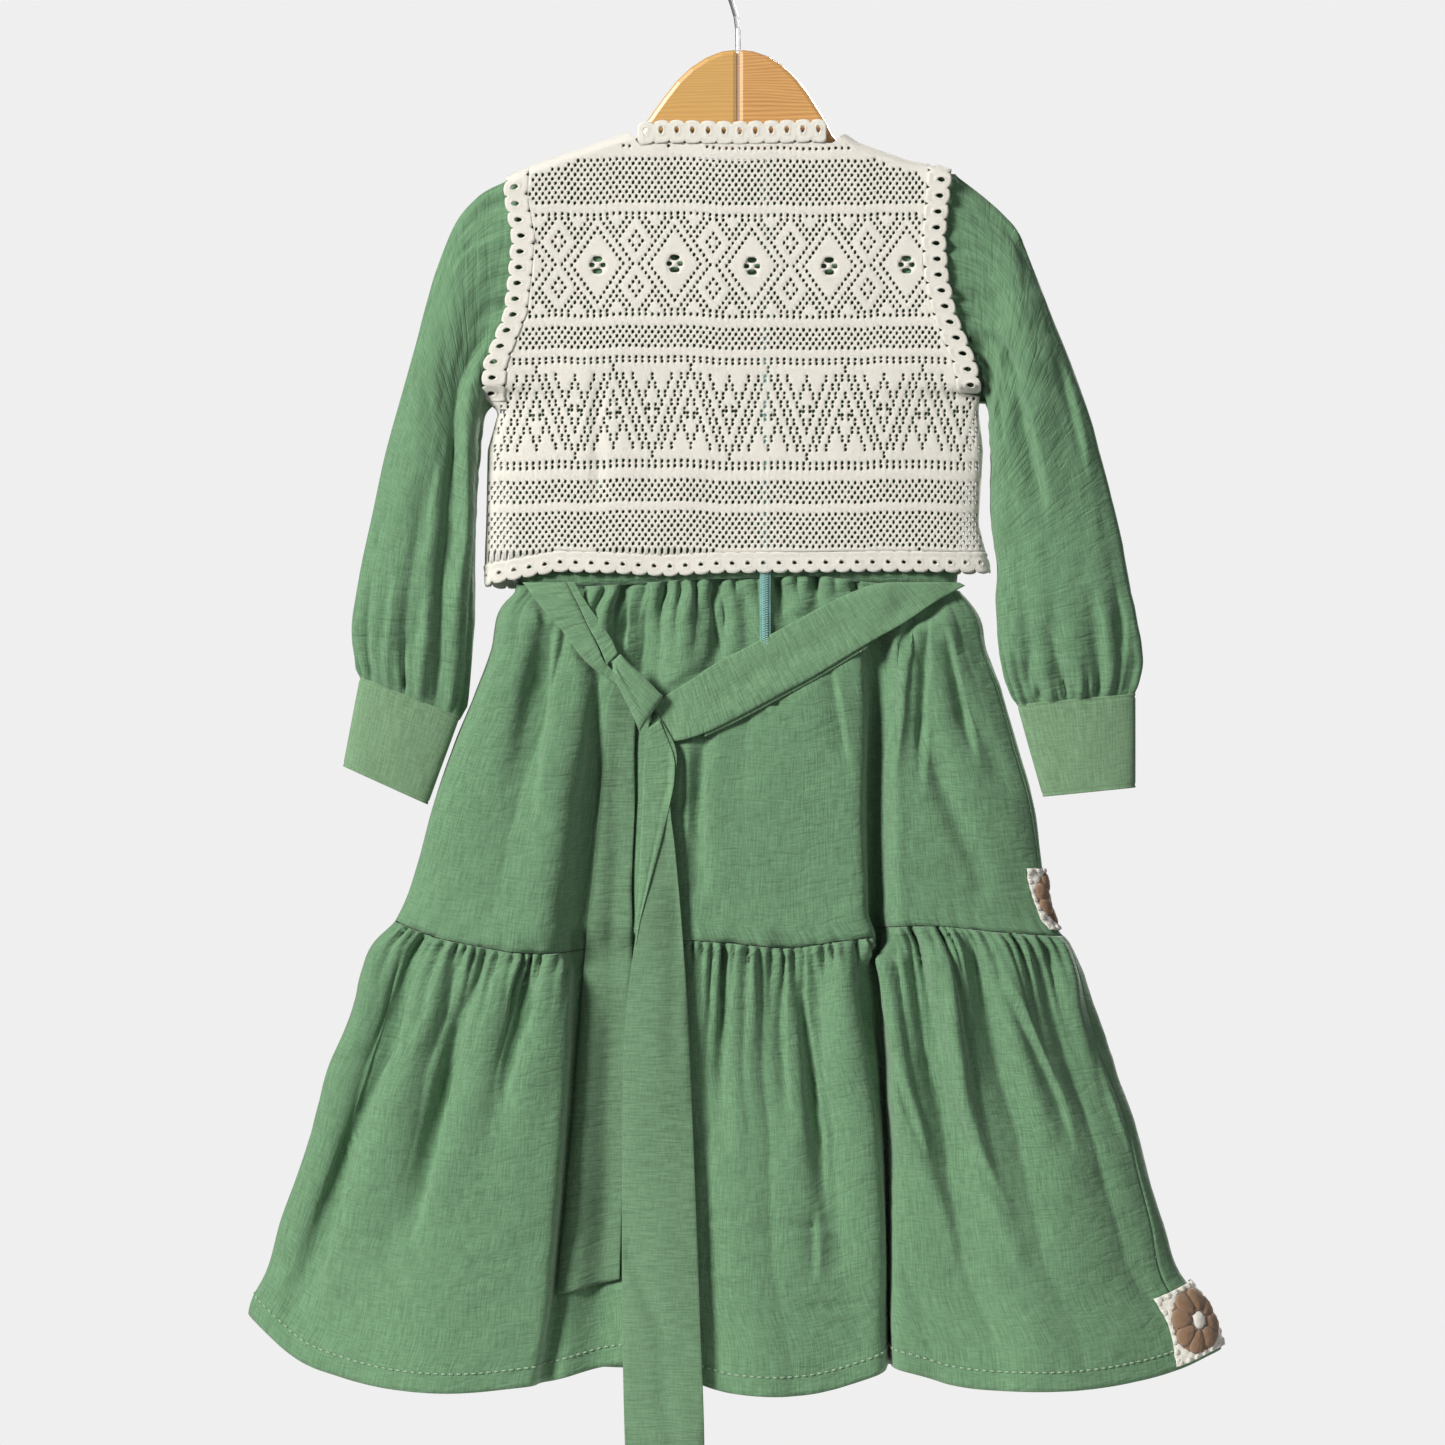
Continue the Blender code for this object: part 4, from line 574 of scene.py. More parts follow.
def add_piece(name, points, faces, uv, finish, nodes):
    """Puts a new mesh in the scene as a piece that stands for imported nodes."""
    mesh = new_mesh(name, points, faces, uv)
    face_out(mesh)
    mesh.shade_smooth()
    mesh.materials.append(finish)
    piece = bpy.data.objects.new(name, mesh)
    bpy.context.scene.collection.objects.link(piece)
    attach(piece, "root")
    if nodes:
        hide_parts(*nodes)
    return piece


def outward(grid, closed=False):
    """Unit directions square to a grid of points; a closed grid is a tube, and they face out of it."""
    if closed:
        across = np.roll(grid, -1, axis=1) - np.roll(grid, 1, axis=1)
    else:
        across = np.gradient(grid, axis=1)
    out = np.cross(np.gradient(grid, axis=0), across)
    out = out / np.maximum(np.linalg.norm(out, axis=2), 1e-9)[:, :, None]
    if closed and ((grid - grid.mean(axis=1, keepdims=True)) * out).sum() < 0:
        return -out
    return out


def shell_faces(rows, columns, closed=False):
    """Faces of the outer side, the inner side and the rim of a grid, wound to face outward."""
    steps = np.arange(columns if closed else columns - 1)
    following = (steps + 1) % columns
    i, j = np.meshgrid(np.arange(rows - 1), steps, indexing="ij")
    right = (j + 1) % columns
    corners = [i * columns + j, (i + 1) * columns + j, (i + 1) * columns + right, i * columns + right]
    outer = np.stack(corners, axis=-1).reshape(-1, 4)
    far, low = rows * columns, (rows - 1) * columns
    edges = [(steps, following), (low + following, low + steps)]
    if not closed:
        side = np.arange(rows - 1) * columns
        edges += [(side + columns, side), (side + columns - 1, side + 2 * columns - 1)]
    rims = [np.stack([a, b, b + far, a + far], axis=1) for a, b in edges]
    return np.concatenate([outer, outer[:, ::-1] + far, *rims])


def shell(name, grid, uv, finish, nodes, thick=CLOTH, closed=False, out=None):
    """Thin cloth: the grid is its outer side, and the inner side lies behind it."""
    if out is None:
        out = outward(grid, closed)
    points = np.concatenate([grid.reshape(-1, 3), (grid - out * thick).reshape(-1, 3)])
    places = np.concatenate([uv.reshape(-1, 2)] * 2)
    return add_piece(name, points, shell_faces(*grid.shape[:2], closed), places, finish, nodes)


def cloth_uv(rows, columns, width, length, start):
    u, v = np.meshgrid(np.linspace(0, width, columns), np.linspace(0, -length, rows))
    return np.stack([u + start, v], axis=2)


# ---- skirt ----

def each_fold(folds, x, z):
    """Each large fold with the distance from its line, its reach, its depth and how much of it is there."""
    for fold in folds:
        heights = np.array([-fold.z1, -fold.z2, -fold.z3], float)
        off = x - smooth_line(heights, np.array([fold.x1, fold.x2, fold.x3], float), -z)
        reach = np.where(off < 0, fold.reach_left, fold.reach_right)
        depth = np.interp(-z, heights, (fold.depth1, fold.depth2, fold.depth3))
        beyond = np.maximum(heights[0] + z, -z - heights[2])
        yield fold, off, reach, depth, ease(1 - beyond / FOLD_FADE)


def folds_at(folds, x, z):
    """How far the large folds carry the cloth inward at a place."""
    total = np.zeros_like(x, float)
    for _, off, reach, depth, present in each_fold(folds, x, z):
        total += depth * present * np.exp(-(off / reach) ** 2)
    return total


def close_folds(folds, x, z):
    """Draws the walls of narrow folds together; the large ones have lips (z, from left, from right) that
    roll over them by so many millimetres."""
    moved = x.copy()
    for fold, off, reach, depth, present in each_fold(folds, x, z):
        if fold.lips:
            levels, from_left, from_right = -np.array(fold.lips, float).T
            left, right = LIP_PLACE * fold.reach_left, LIP_PLACE * fold.reach_right
            roll_left = np.exp(-((off + left) / (LIP_WIDTH * left)) ** 2)
            roll_right = np.exp(-((off - right) / (LIP_WIDTH * right)) ** 2)
            moved -= np.interp(-z, levels, from_left) * present * roll_left
            moved += np.interp(-z, levels, from_right) * present * roll_right
        else:
            tight = 0.60 * ease((depth / reach - 0.6) / 0.9) * (1 - ease((depth - 12) / 6))
            moved -= tight * present * off * np.exp(-(off / (1.5 * reach)) ** 2)
    return moved


def creases_at(creases, x, z):
    """Lift of the creases at a place: a small ridge and valley for a crossing one; beside one that runs
    down, the cloth dips slowly toward the line and stands up steeply behind it."""
    total = np.zeros_like(x, float)
    for deep, reach, *line in creases:
        xs, zs = np.array(line[::2], float), np.array(line[1::2], float)
        if abs(xs[-1] - xs[0]) > abs(zs[-1] - zs[0]):
            run = (x - xs[0]) / (xs[-1] - xs[0])
            near = (z - np.interp(x, xs, zs)) / reach
            shape = 0.9 * np.exp(-((near + 2.0) / 1.3) ** 2) - 1.5 * np.exp(-np.abs(near) ** 1.4)
        else:
            run = (z - zs[0]) / (zs[-1] - zs[0])
            near = (x - np.interp(-z, -zs, xs)) / reach
            dip = -np.exp(-(np.maximum(-near, 0) / 3.2) ** 1.4)
            stand = 0.7 * np.exp(-(np.maximum(near - 1.4, 0) / 4.5) ** 1.6)
            shape = dip + (stand - dip) * ease(near / 1.4)
        total += deep * shape * ease(run / 0.3) * ease((1 - run) / 0.35)
    return total


def clear_of_middle(depth):
    """Depth from the middle plane, eased so that no fold reaches through to the other side."""
    return CLEAR_MIDDLE + 3 * np.log1p(np.exp((depth - CLEAR_MIDDLE) / 3))


def tier_lines(tier, side):
    names = ("waist", "tier") if tier == "upper" else ("tier", "hem")
    return names if side == "back" else tuple("front_" + name for name in names)


def skirt_side(tier, side, share, down):
    """Points across one side of a tier, at a share of the way down it."""
    top, bottom = tier_lines(tier, side)
    upper = read(LINES, "share", top, share)
    lower = read(LINES, "share", bottom, share)
    if tier == "lower":
        upper = upper - SEAM_GAP
    z = upper + (lower - upper) * down
    left = read(SKIRT, "z", "left", z[share.argmin()])
    right = read(SKIRT, "z", "right", z[share.argmax()])
    x = left + (right - left) * share
    folds = BACK_FOLDS if side == "back" else FRONT_FOLDS
    full = read(SKIRT, "z", side, z) * bulge(share)
    depth = clear_of_middle(full - folds_at(folds, x, z))
    return np.stack([close_folds(folds, x, z), -depth if side == "back" else depth, z], axis=1)


def skirt_share(x, z):
    left, right = read(SKIRT, "z", "left", z), read(SKIRT, "z", "right", z)
    return (x - left) / (right - left)


def skirt_loop(tier, down):
    """Closed section of a tier with its outward directions, arc lengths and the back's arc length."""
    share = swing(np.linspace(0, math.pi, LOOP_STEPS))
    back = skirt_side(tier, "back", share, down)
    front = skirt_side(tier, "front", share[::-1], down)
    points = np.concatenate([back, front])
    step = np.roll(points, -1, axis=0) - np.roll(points, 1, axis=0)
    length = np.maximum(np.hypot(step[:, 0], step[:, 1]), 1e-9)
    out = np.stack([step[:, 1] / length, -step[:, 0] / length, np.zeros(len(points))], axis=1)
    closed = np.concatenate([points, points[:1]])
    arc = run_along(closed[:, :2])
    return closed, np.concatenate([out, out[:1]]), arc, arc[len(back) - 1]


def along_loop(loop, where):
    points, out, arc, _ = loop
    place = np.mod(where, arc[-1])
    facing = at_lengths(out, arc, place)
    return at_lengths(points, arc, place), facing / np.linalg.norm(facing, axis=1)[:, None]


def gathers(along, distance, pitch, height, reach, salt):
    """Gathers below a seam: uneven waves along it, pinched in their valleys, that run out downward."""
    phase = along / pitch + 0.75 * wander(along / (1.9 * pitch), salt)
    size = 0.35 + 1.0 * wander(along / (1.3 * pitch), salt + 1) ** 1.3
    length = reach * (0.35 + 1.5 * wander(along / (1.6 * pitch), salt + 2) ** 2)
    wave = 2 * np.abs(np.sin(math.pi * phase)) ** 0.85 - 1.2
    rise = 0.35 + 0.65 * ease(distance / 4)
    return height * size * wave * rise * np.exp(-((distance / length) ** 1.4))


def crumple(u, v, salt, size=1.0):
    """Soft unevenness of worn linen."""
    broad = 0.55 * rumple(u / 31, v / 44, salt)
    middle = 0.30 * rumple(u / 14 + 3.3, v / 21, salt + 1)
    fine = 0.20 * rumple(u / 6.3, v / 8.5 + 1.7, salt + 2)
    return size * (broad + middle + fine)


def under_sash(x, z):
    """1 where a strip of the sash presses the cloth flat, falling to 0 beside it."""
    pressed = np.zeros_like(x)
    for table in (STRAND_RIGHT, STRAND_LEFT, TAIL_SHORT, TAIL_LONG):
        for a, b in zip(table, table[1:]):
            start = np.array([a.x_a + a.x_b, a.z_a + a.z_b]) / 2
            step = np.array([b.x_a + b.x_b, b.z_a + b.z_b]) / 2 - start
            half = math.hypot(b.x_a - b.x_b, b.z_a - b.z_b) / 2
            t = np.clip(((x - start[0]) * step[0] + (z - start[1]) * step[1]) / (step @ step), 0, 1)
            away = np.hypot(x - start[0] - t * step[0], z - start[1] - t * step[1])
            pressed = np.maximum(pressed, ease((half + PRESS_FADE - away) / PRESS_FADE))
    return pressed


def skirt_panel(tier, side, rows, columns, cut, pitch, height, reach, salt):
    """One side of a tier, with its gathers and unevenness. Returns the points of its outer side."""
    grid = np.zeros((rows + 1, columns + 1, 3))
    facing = np.zeros_like(grid)
    for i in range(rows + 1):
        loop = skirt_loop(tier, (i / rows) ** ROW_POWER)
        seam_left, seam_right = (float(read(SKIRT, "z", key, loop[0][0, 2]))
                                 for key in ("seam_left", "seam_right"))
        across_back, around = loop[3], loop[2][-1]
        if side == "back":
            start, end = seam_left, across_back - seam_right
        else:
            start, end = across_back - seam_right + SEAM_GAP, around + seam_left - SEAM_GAP
        grid[i], facing[i] = along_loop(loop, np.linspace(start, end, columns + 1))
    width, length = cut
    uv = cloth_uv(rows + 1, columns + 1, width, length, salt * 900.0)
    distance = grid[:1, :, 2] - grid[:, :, 2]
    top_width = np.hypot(*np.diff(grid[0, :, :2], axis=0).T).sum()
    along = np.broadcast_to(np.linspace(0, top_width, columns + 1), distance.shape)
    x, z = grid[:, :, 0], grid[:, :, 2]
    share = skirt_share(x, z)
    ray = share * along[0, -1]
    broad = gathers(ray, distance, 5.2 * pitch, 1.1 * height, 9 * reach, salt + 30)
    lift = gathers(ray, distance, pitch, height, reach, salt)
    lift = lift + gathers(ray, distance, 2.3 * pitch, 0.8 * height, 2.8 * reach, salt + 20)
    lift = lift + broad * ease(distance / 25)
    lift = lift + crumple(uv[:, :, 0] * 0.55, uv[:, :, 1], salt, 1.7) * ease(distance / 10)
    lift = lift + 1.5 * creases_at(BACK_CREASES if side == "back" else FRONT_CREASES, x, z)
    if tier == "upper":
        lift = lift + 0.5 * gathers(ray * 1.4, z - z[-1:], pitch, height * 0.5, 7.0, salt + 5)
    sunk = read(SKIRT, "z", side, z) * bulge(share) - np.abs(grid[:, :, 1])
    lift = lift * ease(np.minimum(along, along[:, ::-1]) / 10) * (1 - 0.85 * ease((sunk - 6) / 10))
    if side == "back":
        lift = lift - np.maximum(lift, 0) * under_sash(x, z)
    grid = grid + facing * lift[:, :, None]
    name = "tier_" + tier + "_" + side
    piece = shell(name + "_linen", grid, uv, LINEN, [name])
    return grid


def build_skirt():
    """Outer points of each side of each tier."""
    return {
        "upper_back": skirt_panel("upper", "back", 80, 330, (480, 240), 13.0, 4.6, 20, 1),
        "upper_front": skirt_panel("upper", "front", 48, 190, (470, 240), 10.0, 3.6, 26, 2),
        "lower_back": skirt_panel("lower", "back", 94, 410, (730, 295), 8.2, 4.6, 20, 3),
        "lower_front": skirt_panel("lower", "front", 58, 240, (735, 295), 9.0, 3.8, 24, 4),
    }


skirt = build_skirt()


# ---- sleeves and cuffs ----

def torso_round(tops, side, x, z):
    """Share of the full depth under the shoulder line, where the cloth rounds over the hanger."""
    fall = np.clip((straight(tops, "x", side, x) - z) / SHOULDER_RADIUS, 0, 1)
    closed = ease(straight(tops, "x", "closed", x))
    return 1 - closed * (1 - np.sqrt(np.maximum(1 - (1 - fall) ** 2, 0)))


def torso_depth(form, tops, side, x, z, closing):
    """Depth of a bodice or overlay from the middle plane; it closes at its sides below the armhole."""
    left, right, full = (straight(form, "z", name, z) for name in ("left", "right", "depth"))
    shut = ease((UNDERARM + closing - z) / closing)
    depth = full * torso_round(tops, side, x, z)
    return np.maximum(depth * (1 - shut * (1 - bulge((x - left) / (right - left)))), SEAM_GAP / 2)


def bodice_depth(side, x, z):
    return torso_depth(BODICE, BODICE_TOP, side, x, z, BODICE_CLOSING)


def lace_depth(side, x, z):
    return torso_depth(OVERLAY, OVERLAY_TOP, side, x, z, TRIM_CLOSING)


def under_lace(side, x, z, depth):
    """Depth of the bodice where it fills out to lie just under the overlay."""
    lace = lace_depth(side, x, z) - CROCHET - UNDER_LACE
    return depth + np.clip(lace - depth, 0, 4.5) * ease((depth - 1) / 5) * ease((z + 440) / 24)


def waist_height(side, x):
    share = (x - SKIRT[0].left) / (SKIRT[0].right - SKIRT[0].left)
    name = "waist" if side == "back" else "front_waist"
    return read(LINES, "share", name, share) + WAIST_GAP


def armhole_ring(side_x, count):
    """First ring of a sleeve, round the bodice's armhole edge: down the back, up the front."""
    key, edge = ("left", -141.0) if side_x < 0 else ("right", 127.5)
    points = []
    for turn in np.linspace(0, 2 * math.pi, count, endpoint=False):
        side = "back" if turn <= math.pi else "front"
        top = float(straight(BODICE_TOP, "x", side, edge))
        z = top + (UNDERARM - 2 - top) * swing(turn)
        x = float(straight(BODICE, "z", key, z))
        depth = float(bodice_depth(side, np.array(x), np.array(z)))
        depth *= min(1.0, math.sin(turn % math.pi) * 3.0)
        points.append((x + side_x * SEAM_GAP, -depth if side == "back" else depth, z))
    return np.array(points)


def ring_at(ring, count, half_turn=0.75):
    """Points round a flattened tube between a ring's outer and inner ends."""
    turn = np.linspace(0, 2 * math.pi, count, endpoint=False)
    middle = np.array([(ring.outer_x + ring.inner_x) / 2, 0, (ring.outer_z + ring.inner_z) / 2])
    half = np.array([(ring.outer_x - ring.inner_x) / 2, 0, (ring.outer_z - ring.inner_z) / 2])
    points = middle + np.cos(turn)[:, None] * half
    points[:, 1] = -ring.depth * np.sign(np.sin(turn)) * np.abs(np.sin(turn)) ** half_turn
    return points


def between_rings(rings, steps):
    """Rings at even steps down a table of rings, on smooth curves."""
    index, places = np.arange(len(rings), dtype=float), np.linspace(0, len(rings) - 1, steps)
    return [Ring(*values) for values in zip(*(smooth_line(index, values, places)
                                              for values in columns_of(rings, Ring._fields)))]


def build_sleeve(name, rings, creases, side_x, salt):
    count, steps = 126, 84
    first = armhole_ring(side_x, count)
    grid = np.stack([first] + [ring_at(ring, count) for ring in between_rings(rings, steps)])
    blend = ease(np.arange(len(grid)) / 9.0)[:, None, None]
    grid = grid * blend + (first + (grid[1:2].mean(axis=1) - first.mean(axis=0))) * (1 - blend)
    grid[0] = first
    out = outward(grid, closed=True)
    girth = run_along(grid[-20])
    along = np.broadcast_to(girth, grid.shape[:2])
    from_top = run_along(grid.mean(axis=1))[:, None]
    from_cuff = from_top[-1] - from_top
    uv = np.stack([along, np.broadcast_to(-from_top, along.shape)], axis=2) + salt * 500.0
    cuffed = np.maximum(from_cuff - 5, 0)
    wave = gathers(along, cuffed, 9.0, 2.8, 30, salt)
    wave = wave + gathers(along, cuffed, 24.0, 3.0, 120, salt + 7)
    head = gathers(along, from_top, 9.5, 2.4, 26, salt + 9)
    head = head + gathers(along, from_top, 31.0, 2.2, 110, salt + 13)
    fade = ease(from_top / 6) * ease(from_cuff / 6) * ease(np.minimum(along, girth[-1] - along) / 8)
    lift = wave + head + crumple(uv[:, :, 0], uv[:, :, 1], salt, 2.2)
    crossed = 1.3 * creases_at(creases, grid[:, :, 0], grid[:, :, 2]) * ease(np.abs(grid[:, :, 1]) / 7)
    grid = grid + out * ((lift + crossed) * fade)[:, :, None]
    piece = shell(name + "_linen", grid, uv, SLEEVE_LINEN, [name], closed=True, out=out)


def build_cuff(name, rings):
    """Cuff with a line of stitching at each edge, where its rows lie closer together."""
    edge = np.array([0, 0.016, 0.032, 0.048, 0.064])
    places = np.concatenate([edge, np.linspace(0.1, 0.9, 9), [0.936, 0.952, 0.968, 0.984, 1]])
    stitched = (1.9, 58.1)
    soft = [Ring(*(a + (b - a) * t for a, b in zip(*rings))) for t in places]
    grid = np.stack([ring_at(ring, 108, 0.62) for ring in soft])
    out = outward(grid, closed=True)
    along = np.broadcast_to(run_along(grid[5]), grid.shape[:2])
    down = np.broadcast_to(60 * places[:, None], along.shape)
    uv = np.stack([along, -down], axis=2)
    fade = ease(np.minimum(along, along[:, -1:] - along) / 8)
    seam = 0.5 * sum(np.exp(-((down - line) / 0.6) ** 2) for line in stitched)
    grid = grid + out * (0.5 * rumple(along / 19, -down / 30, 31) * fade - seam)[:, :, None]
    piece = shell(name + "_cotton", grid, uv, CUFF, [name], CUFF_THICK, True, out)


build_sleeve("sleeve_left", LEFT_SLEEVE, LEFT_SLEEVE_CREASES, -1, 5)
build_sleeve("sleeve_right", RIGHT_SLEEVE, RIGHT_SLEEVE_CREASES, 1, 6)
build_cuff("cuff_left", LEFT_CUFF)
build_cuff("cuff_right", RIGHT_CUFF)


# ---- bodice ----


def bodice_grid(side, x_left, x_right, columns):
    """Grid down one side of the bodice between two edges; an edge of None is the garment's side edge."""
    share = np.linspace(0, 1, columns)
    drops = [0.0, 0.4, 1.2, 2.4, 4.0, 6.2] + [9.0] * BODICE_ROWS
    down = np.concatenate([np.zeros(6), np.linspace(0, 1, BODICE_ROWS)])
    grid = np.zeros((len(drops), columns, 3))
    for i, drop in enumerate(drops):
        x = -140 + 270 * share
        for _ in range(4):
            start = straight(BODICE_TOP, "x", side, x) - drop
            z = start + (waist_height(side, x) - start) * down[i]
            left = straight(BODICE, "z", "left", z) if x_left is None else x_left
            right = straight(BODICE, "z", "right", z) if x_right is None else x_right
            x = left + (right - left) * share
        depth = bodice_depth(side, x, z)
        grid[i] = np.stack([x, -depth if side == "back" else depth, z], axis=1)
    return grid


def build_bodice():
    for part, side, left, right, columns, flat, salt in (
        ("front", "front", None, None, 72, (0.31, 0.29), 11),
        ("back_left", "back", None, ZIP_X - SEAM_GAP / 2, 38, (0.17, 0.29), 12),
        ("back_right", "back", ZIP_X + SEAM_GAP / 2, None, 32, (0.14, 0.29), 13),
    ):
        grid = bodice_grid(side, left, right, columns)
        if side == "front":
            grid = grid[:, ::-1]
        out = outward(grid)
        x, depth, z = grid[:, :, 0], np.abs(grid[:, :, 1]), grid[:, :, 2]
        middle = ease(depth / 6)
        lift = 0.7 * rumple(x / 38, z / 55, salt) * middle - 0.5 * middle
        grid[:, :, 1] = np.sign(grid[:, :, 1]) * under_lace(side, x, z, depth)
        grid = grid + out * lift[:, :, None]
        grid[-1, :, 2] -= WAIST_TUCK
        name = "bodice_" + part
        piece = shell(name + "_linen", grid, grid[:, :, ::2], LINEN, [name])


build_bodice()


# ---- crochet overlay ----

Band = namedtuple("Band", "kind top rows")
BANDS = [Band(*row) for row in (
    ("plain", -144.9, 3), ("pairs", -152.4, 2), ("plain", -157.6, 2), ("net", -163.2, 10),
    ("plain", -193.7, 2), ("flowers", -198.5, 23), ("plain", -267.0, 2), ("net", -272.3, 5),
    ("plain", -287.3, 2), ("pairs", -291.9, 2), ("zigzag", -297.1, 22), ("pairs", -358.8, 2),
    ("plain", -365.3, 2), ("net", -371.5, 5), ("plain", -387.1, 2), ("net", -392.0, 9), ("end", -418.6, 0),
)]
HALF_COLUMN = 2.085
CHART_X = -92.3
REPEAT = 24
# Openings of the flower band by distance from the flower's row, then by distance from its column
FLOWER_ROWS = [
    (8, 11), (7, 10), (6, 9), (5, 8, 12), (4, 7, 11), (3, 6, 10), (2, 5, 7, 11), (1, 4, 6, 8, 12),
    (0, 3, 5, 7, 9), (2, 4, 8, 10), (1, 3, 9, 11), (1, 3, 5, 7, 9, 11),
]
# Openings of the zigzag's upper half: distances from a falling figure, and from a rising one
ZIGZAG_ROWS = [
    ((0,), ()), ((0,), ()), ((1, 3, 6), (0,)), ((1, 3, 6), (0,)), ((2, 4, 7), (1,)), ((2, 4, 7), (1,)),
    ((0, 3, 5), (2, 4)), ((0, 3, 5), (2, 4)), ((1, 4, 6), (3,)), ((1, 4, 6), (1, 3)), ((2, 5, 7), ()),
]
ZIGZAG_X = 5


def off_repeat(column, start):
    """Distance from the nearest repeat of a chart's column."""
    return abs((column - start + REPEAT // 2) % REPEAT - REPEAT // 2)


def opening(kind, row, rows, column):
    """Size of the opening in a cell of the chart: 0 where it is worked solid."""
    if kind == "pairs":
        return float(column % 2 == 0)
    if kind == "net":
        return float((column + row) % 2 == 0)
    if kind == "flowers":
        return float(off_repeat(column, 0) in FLOWER_ROWS[abs(row - rows // 2)])
    if kind == "zigzag":
        half = rows // 2
        start, line = (ZIGZAG_X, row) if row < half else (ZIGZAG_X + REPEAT // 2, rows - 1 - row)
        falling, rising = ZIGZAG_ROWS[line]
        off = off_repeat(column, start)
        if line == half - 1 and REPEAT // 2 - off in (1, 2):
            return 1.25
        return float(off in falling or REPEAT // 2 - off in rising)
    return 0.0


def chart_rows():
    """Heights of the lines between the chart's rows, and each row's band."""
    lines, rows = [], []
    for band, following in zip(BANDS, BANDS[1:]):
        for k in range(band.rows):
            lines.append(band.top + (following.top - band.top) * k / band.rows)
            rows.append((band.kind, k, band.rows))
    return lines + [BANDS[-1].top], rows


def overlay_top(side, x):
    """Upper edge of the overlay's panels; at the back of the neck it lies below the neck edging."""
    top = straight(OVERLAY_TOP, "x", side, x)
    closed = straight(OVERLAY_TOP, "x", "closed", x)
    drop = NECK_EDGING + EDGING_GAP if side == "back" else 0
    return top - drop * (1 - closed)


def overlay_foot(side, x):
    return straight(HEM_LINE, "x", side, x) + HEM_EDGING + EDGING_GAP


def overlay_edges(z):
    """Side edges of the overlay's panels, inside the armhole edgings."""
    left, right, edging = (straight(OVERLAY, "z", name, z) for name in ("left", "right", "edging"))
    edging = np.where(z > UNDERARM + 2, edging, 0.0)
    return left + edging, right - edging


def overlay_surface(side, x, z):
    """Points on the overlay with the directions square to it."""
    sign = -1.0 if side == "back" else 1.0

    def depth(px, pz):
        wave = 0.9 * rumple(px / 47, pz / 80, 21) + 0.5 * rumple(px / 19, pz / 34, 22)
        crease = 1.8 * np.exp(-((px + 92) / 4.5) ** 2) * ease((-290 - pz) / 25) * ease((pz + 395) / 25)
        flat = lace_depth(side, px, pz)
        return flat + (wave - crease) * ease((flat - 2) / 8)

    here = depth(x, z)
    dx = depth(x + 0.5, z) - depth(x - 0.5, z)
    dz = depth(x, z + 0.5) - depth(x, z - 0.5)
    out = np.stack([-dx, np.full_like(dx, sign), -dz], axis=-1)
    out /= np.linalg.norm(out, axis=-1)[..., None]
    return np.stack([x, sign * here, z], axis=-1), out


def closed_wall(name, outer, inner, faces, uv, flip, nodes):
    """Lace between two sets of points: the faces, the same faces behind them, and rims at open edges."""
    count = len(outer)
    edges = {}
    for face in faces:
        for a, b in zip(face, face[1:] + face[:1]):
            if (b, a) in edges:
                del edges[(b, a)]
            else:
                edges[(a, b)] = True
    made = faces + [[k + count for k in reversed(face)] for face in faces]
    made += [[b, a, a + count, b + count] for a, b in edges]
    if flip:
        made = [face[::-1] for face in made]
    used = sorted({k for face in made for k in face})
    order = {k: i for i, k in enumerate(used)}
    return add_piece(name, np.concatenate([outer, inner])[used], [[order[k] for k in face] for face in made],
                     np.concatenate([uv, uv])[used], LACE, nodes)


def lace_grid(side, z_lines, across, x_from, x_to):
    """Corners of the chart's cells on a panel, and which of them its edges have moved."""
    grid = np.zeros((len(z_lines), len(across), 2))
    pinned = np.zeros(grid.shape[:2], bool)
    sway = 1.1 * (2 * wander(across / 37, 41) - 1) + 0.6 * (2 * wander(across / 13, 42) - 1)
    for i, line in enumerate(z_lines):
        x = across.copy()
        for _ in range(3):
            top, foot = overlay_top(side, x), overlay_foot(side, x)
            closed = straight(OVERLAY_TOP, "x", "closed", x)
            fold = 6.6 * closed + 0.8 * (1 - closed)
            if i < len(EDGE_ROWS):
                z = top - fold * EDGE_ROWS[i] / 6.6
                held = np.ones(len(x), bool)
            else:
                z = np.clip(line + sway, foot, top - fold)
                held = z != line + sway
            low, high = overlay_edges(z)
            x = np.clip(across, np.maximum(low, x_from), np.minimum(high, x_to))
        if i == len(z_lines) - 1:
            z = foot
        grid[i] = np.stack([x, z], axis=1)
        pinned[i] = held | (x != across)
    return grid, pinned


def pierce_cell(corners, spots, size, key, places, lift, faces):
    """A cell with a six-sided opening in it, a little uneven in its place and size."""
    a, b, c, d = spots
    middle = (a + b + c + d) / 4 + 0.12 * HALF_COLUMN * (scatter(key[0] * 71 + key[1], 51) - 0.5)
    half_w = 0.43 * HALF_COLUMN * (0.88 + 0.24 * scatter(key[0] * 37 + key[1], 52)) * min(size, 1.2)
    half_h = 0.45 * abs(a[1] - b[1]) * (0.88 + 0.2 * scatter(key[0] * 53 + key[1], 53))
    start = len(places)
    for px, pz in ((0.10, 1.0), (-1.0, 0.42), (-0.92, -0.50), (-0.10, -1.0), (1.0, -0.42), (0.92, 0.50)):
        places.append((middle[0] + px * half_w + pz * 0.16 * half_w, middle[1] + pz * half_h))
        lift.append(-0.45)
    t, tl, bl, bo, br, tr = range(start, start + 6)
    a, b, c, d = corners
    faces += [[a, b, bl, tl], [c, d, tr, br], [a, tl, t], [a, t, d], [d, t, tr],
              [b, bo, bl], [b, c, bo], [c, br, bo]]


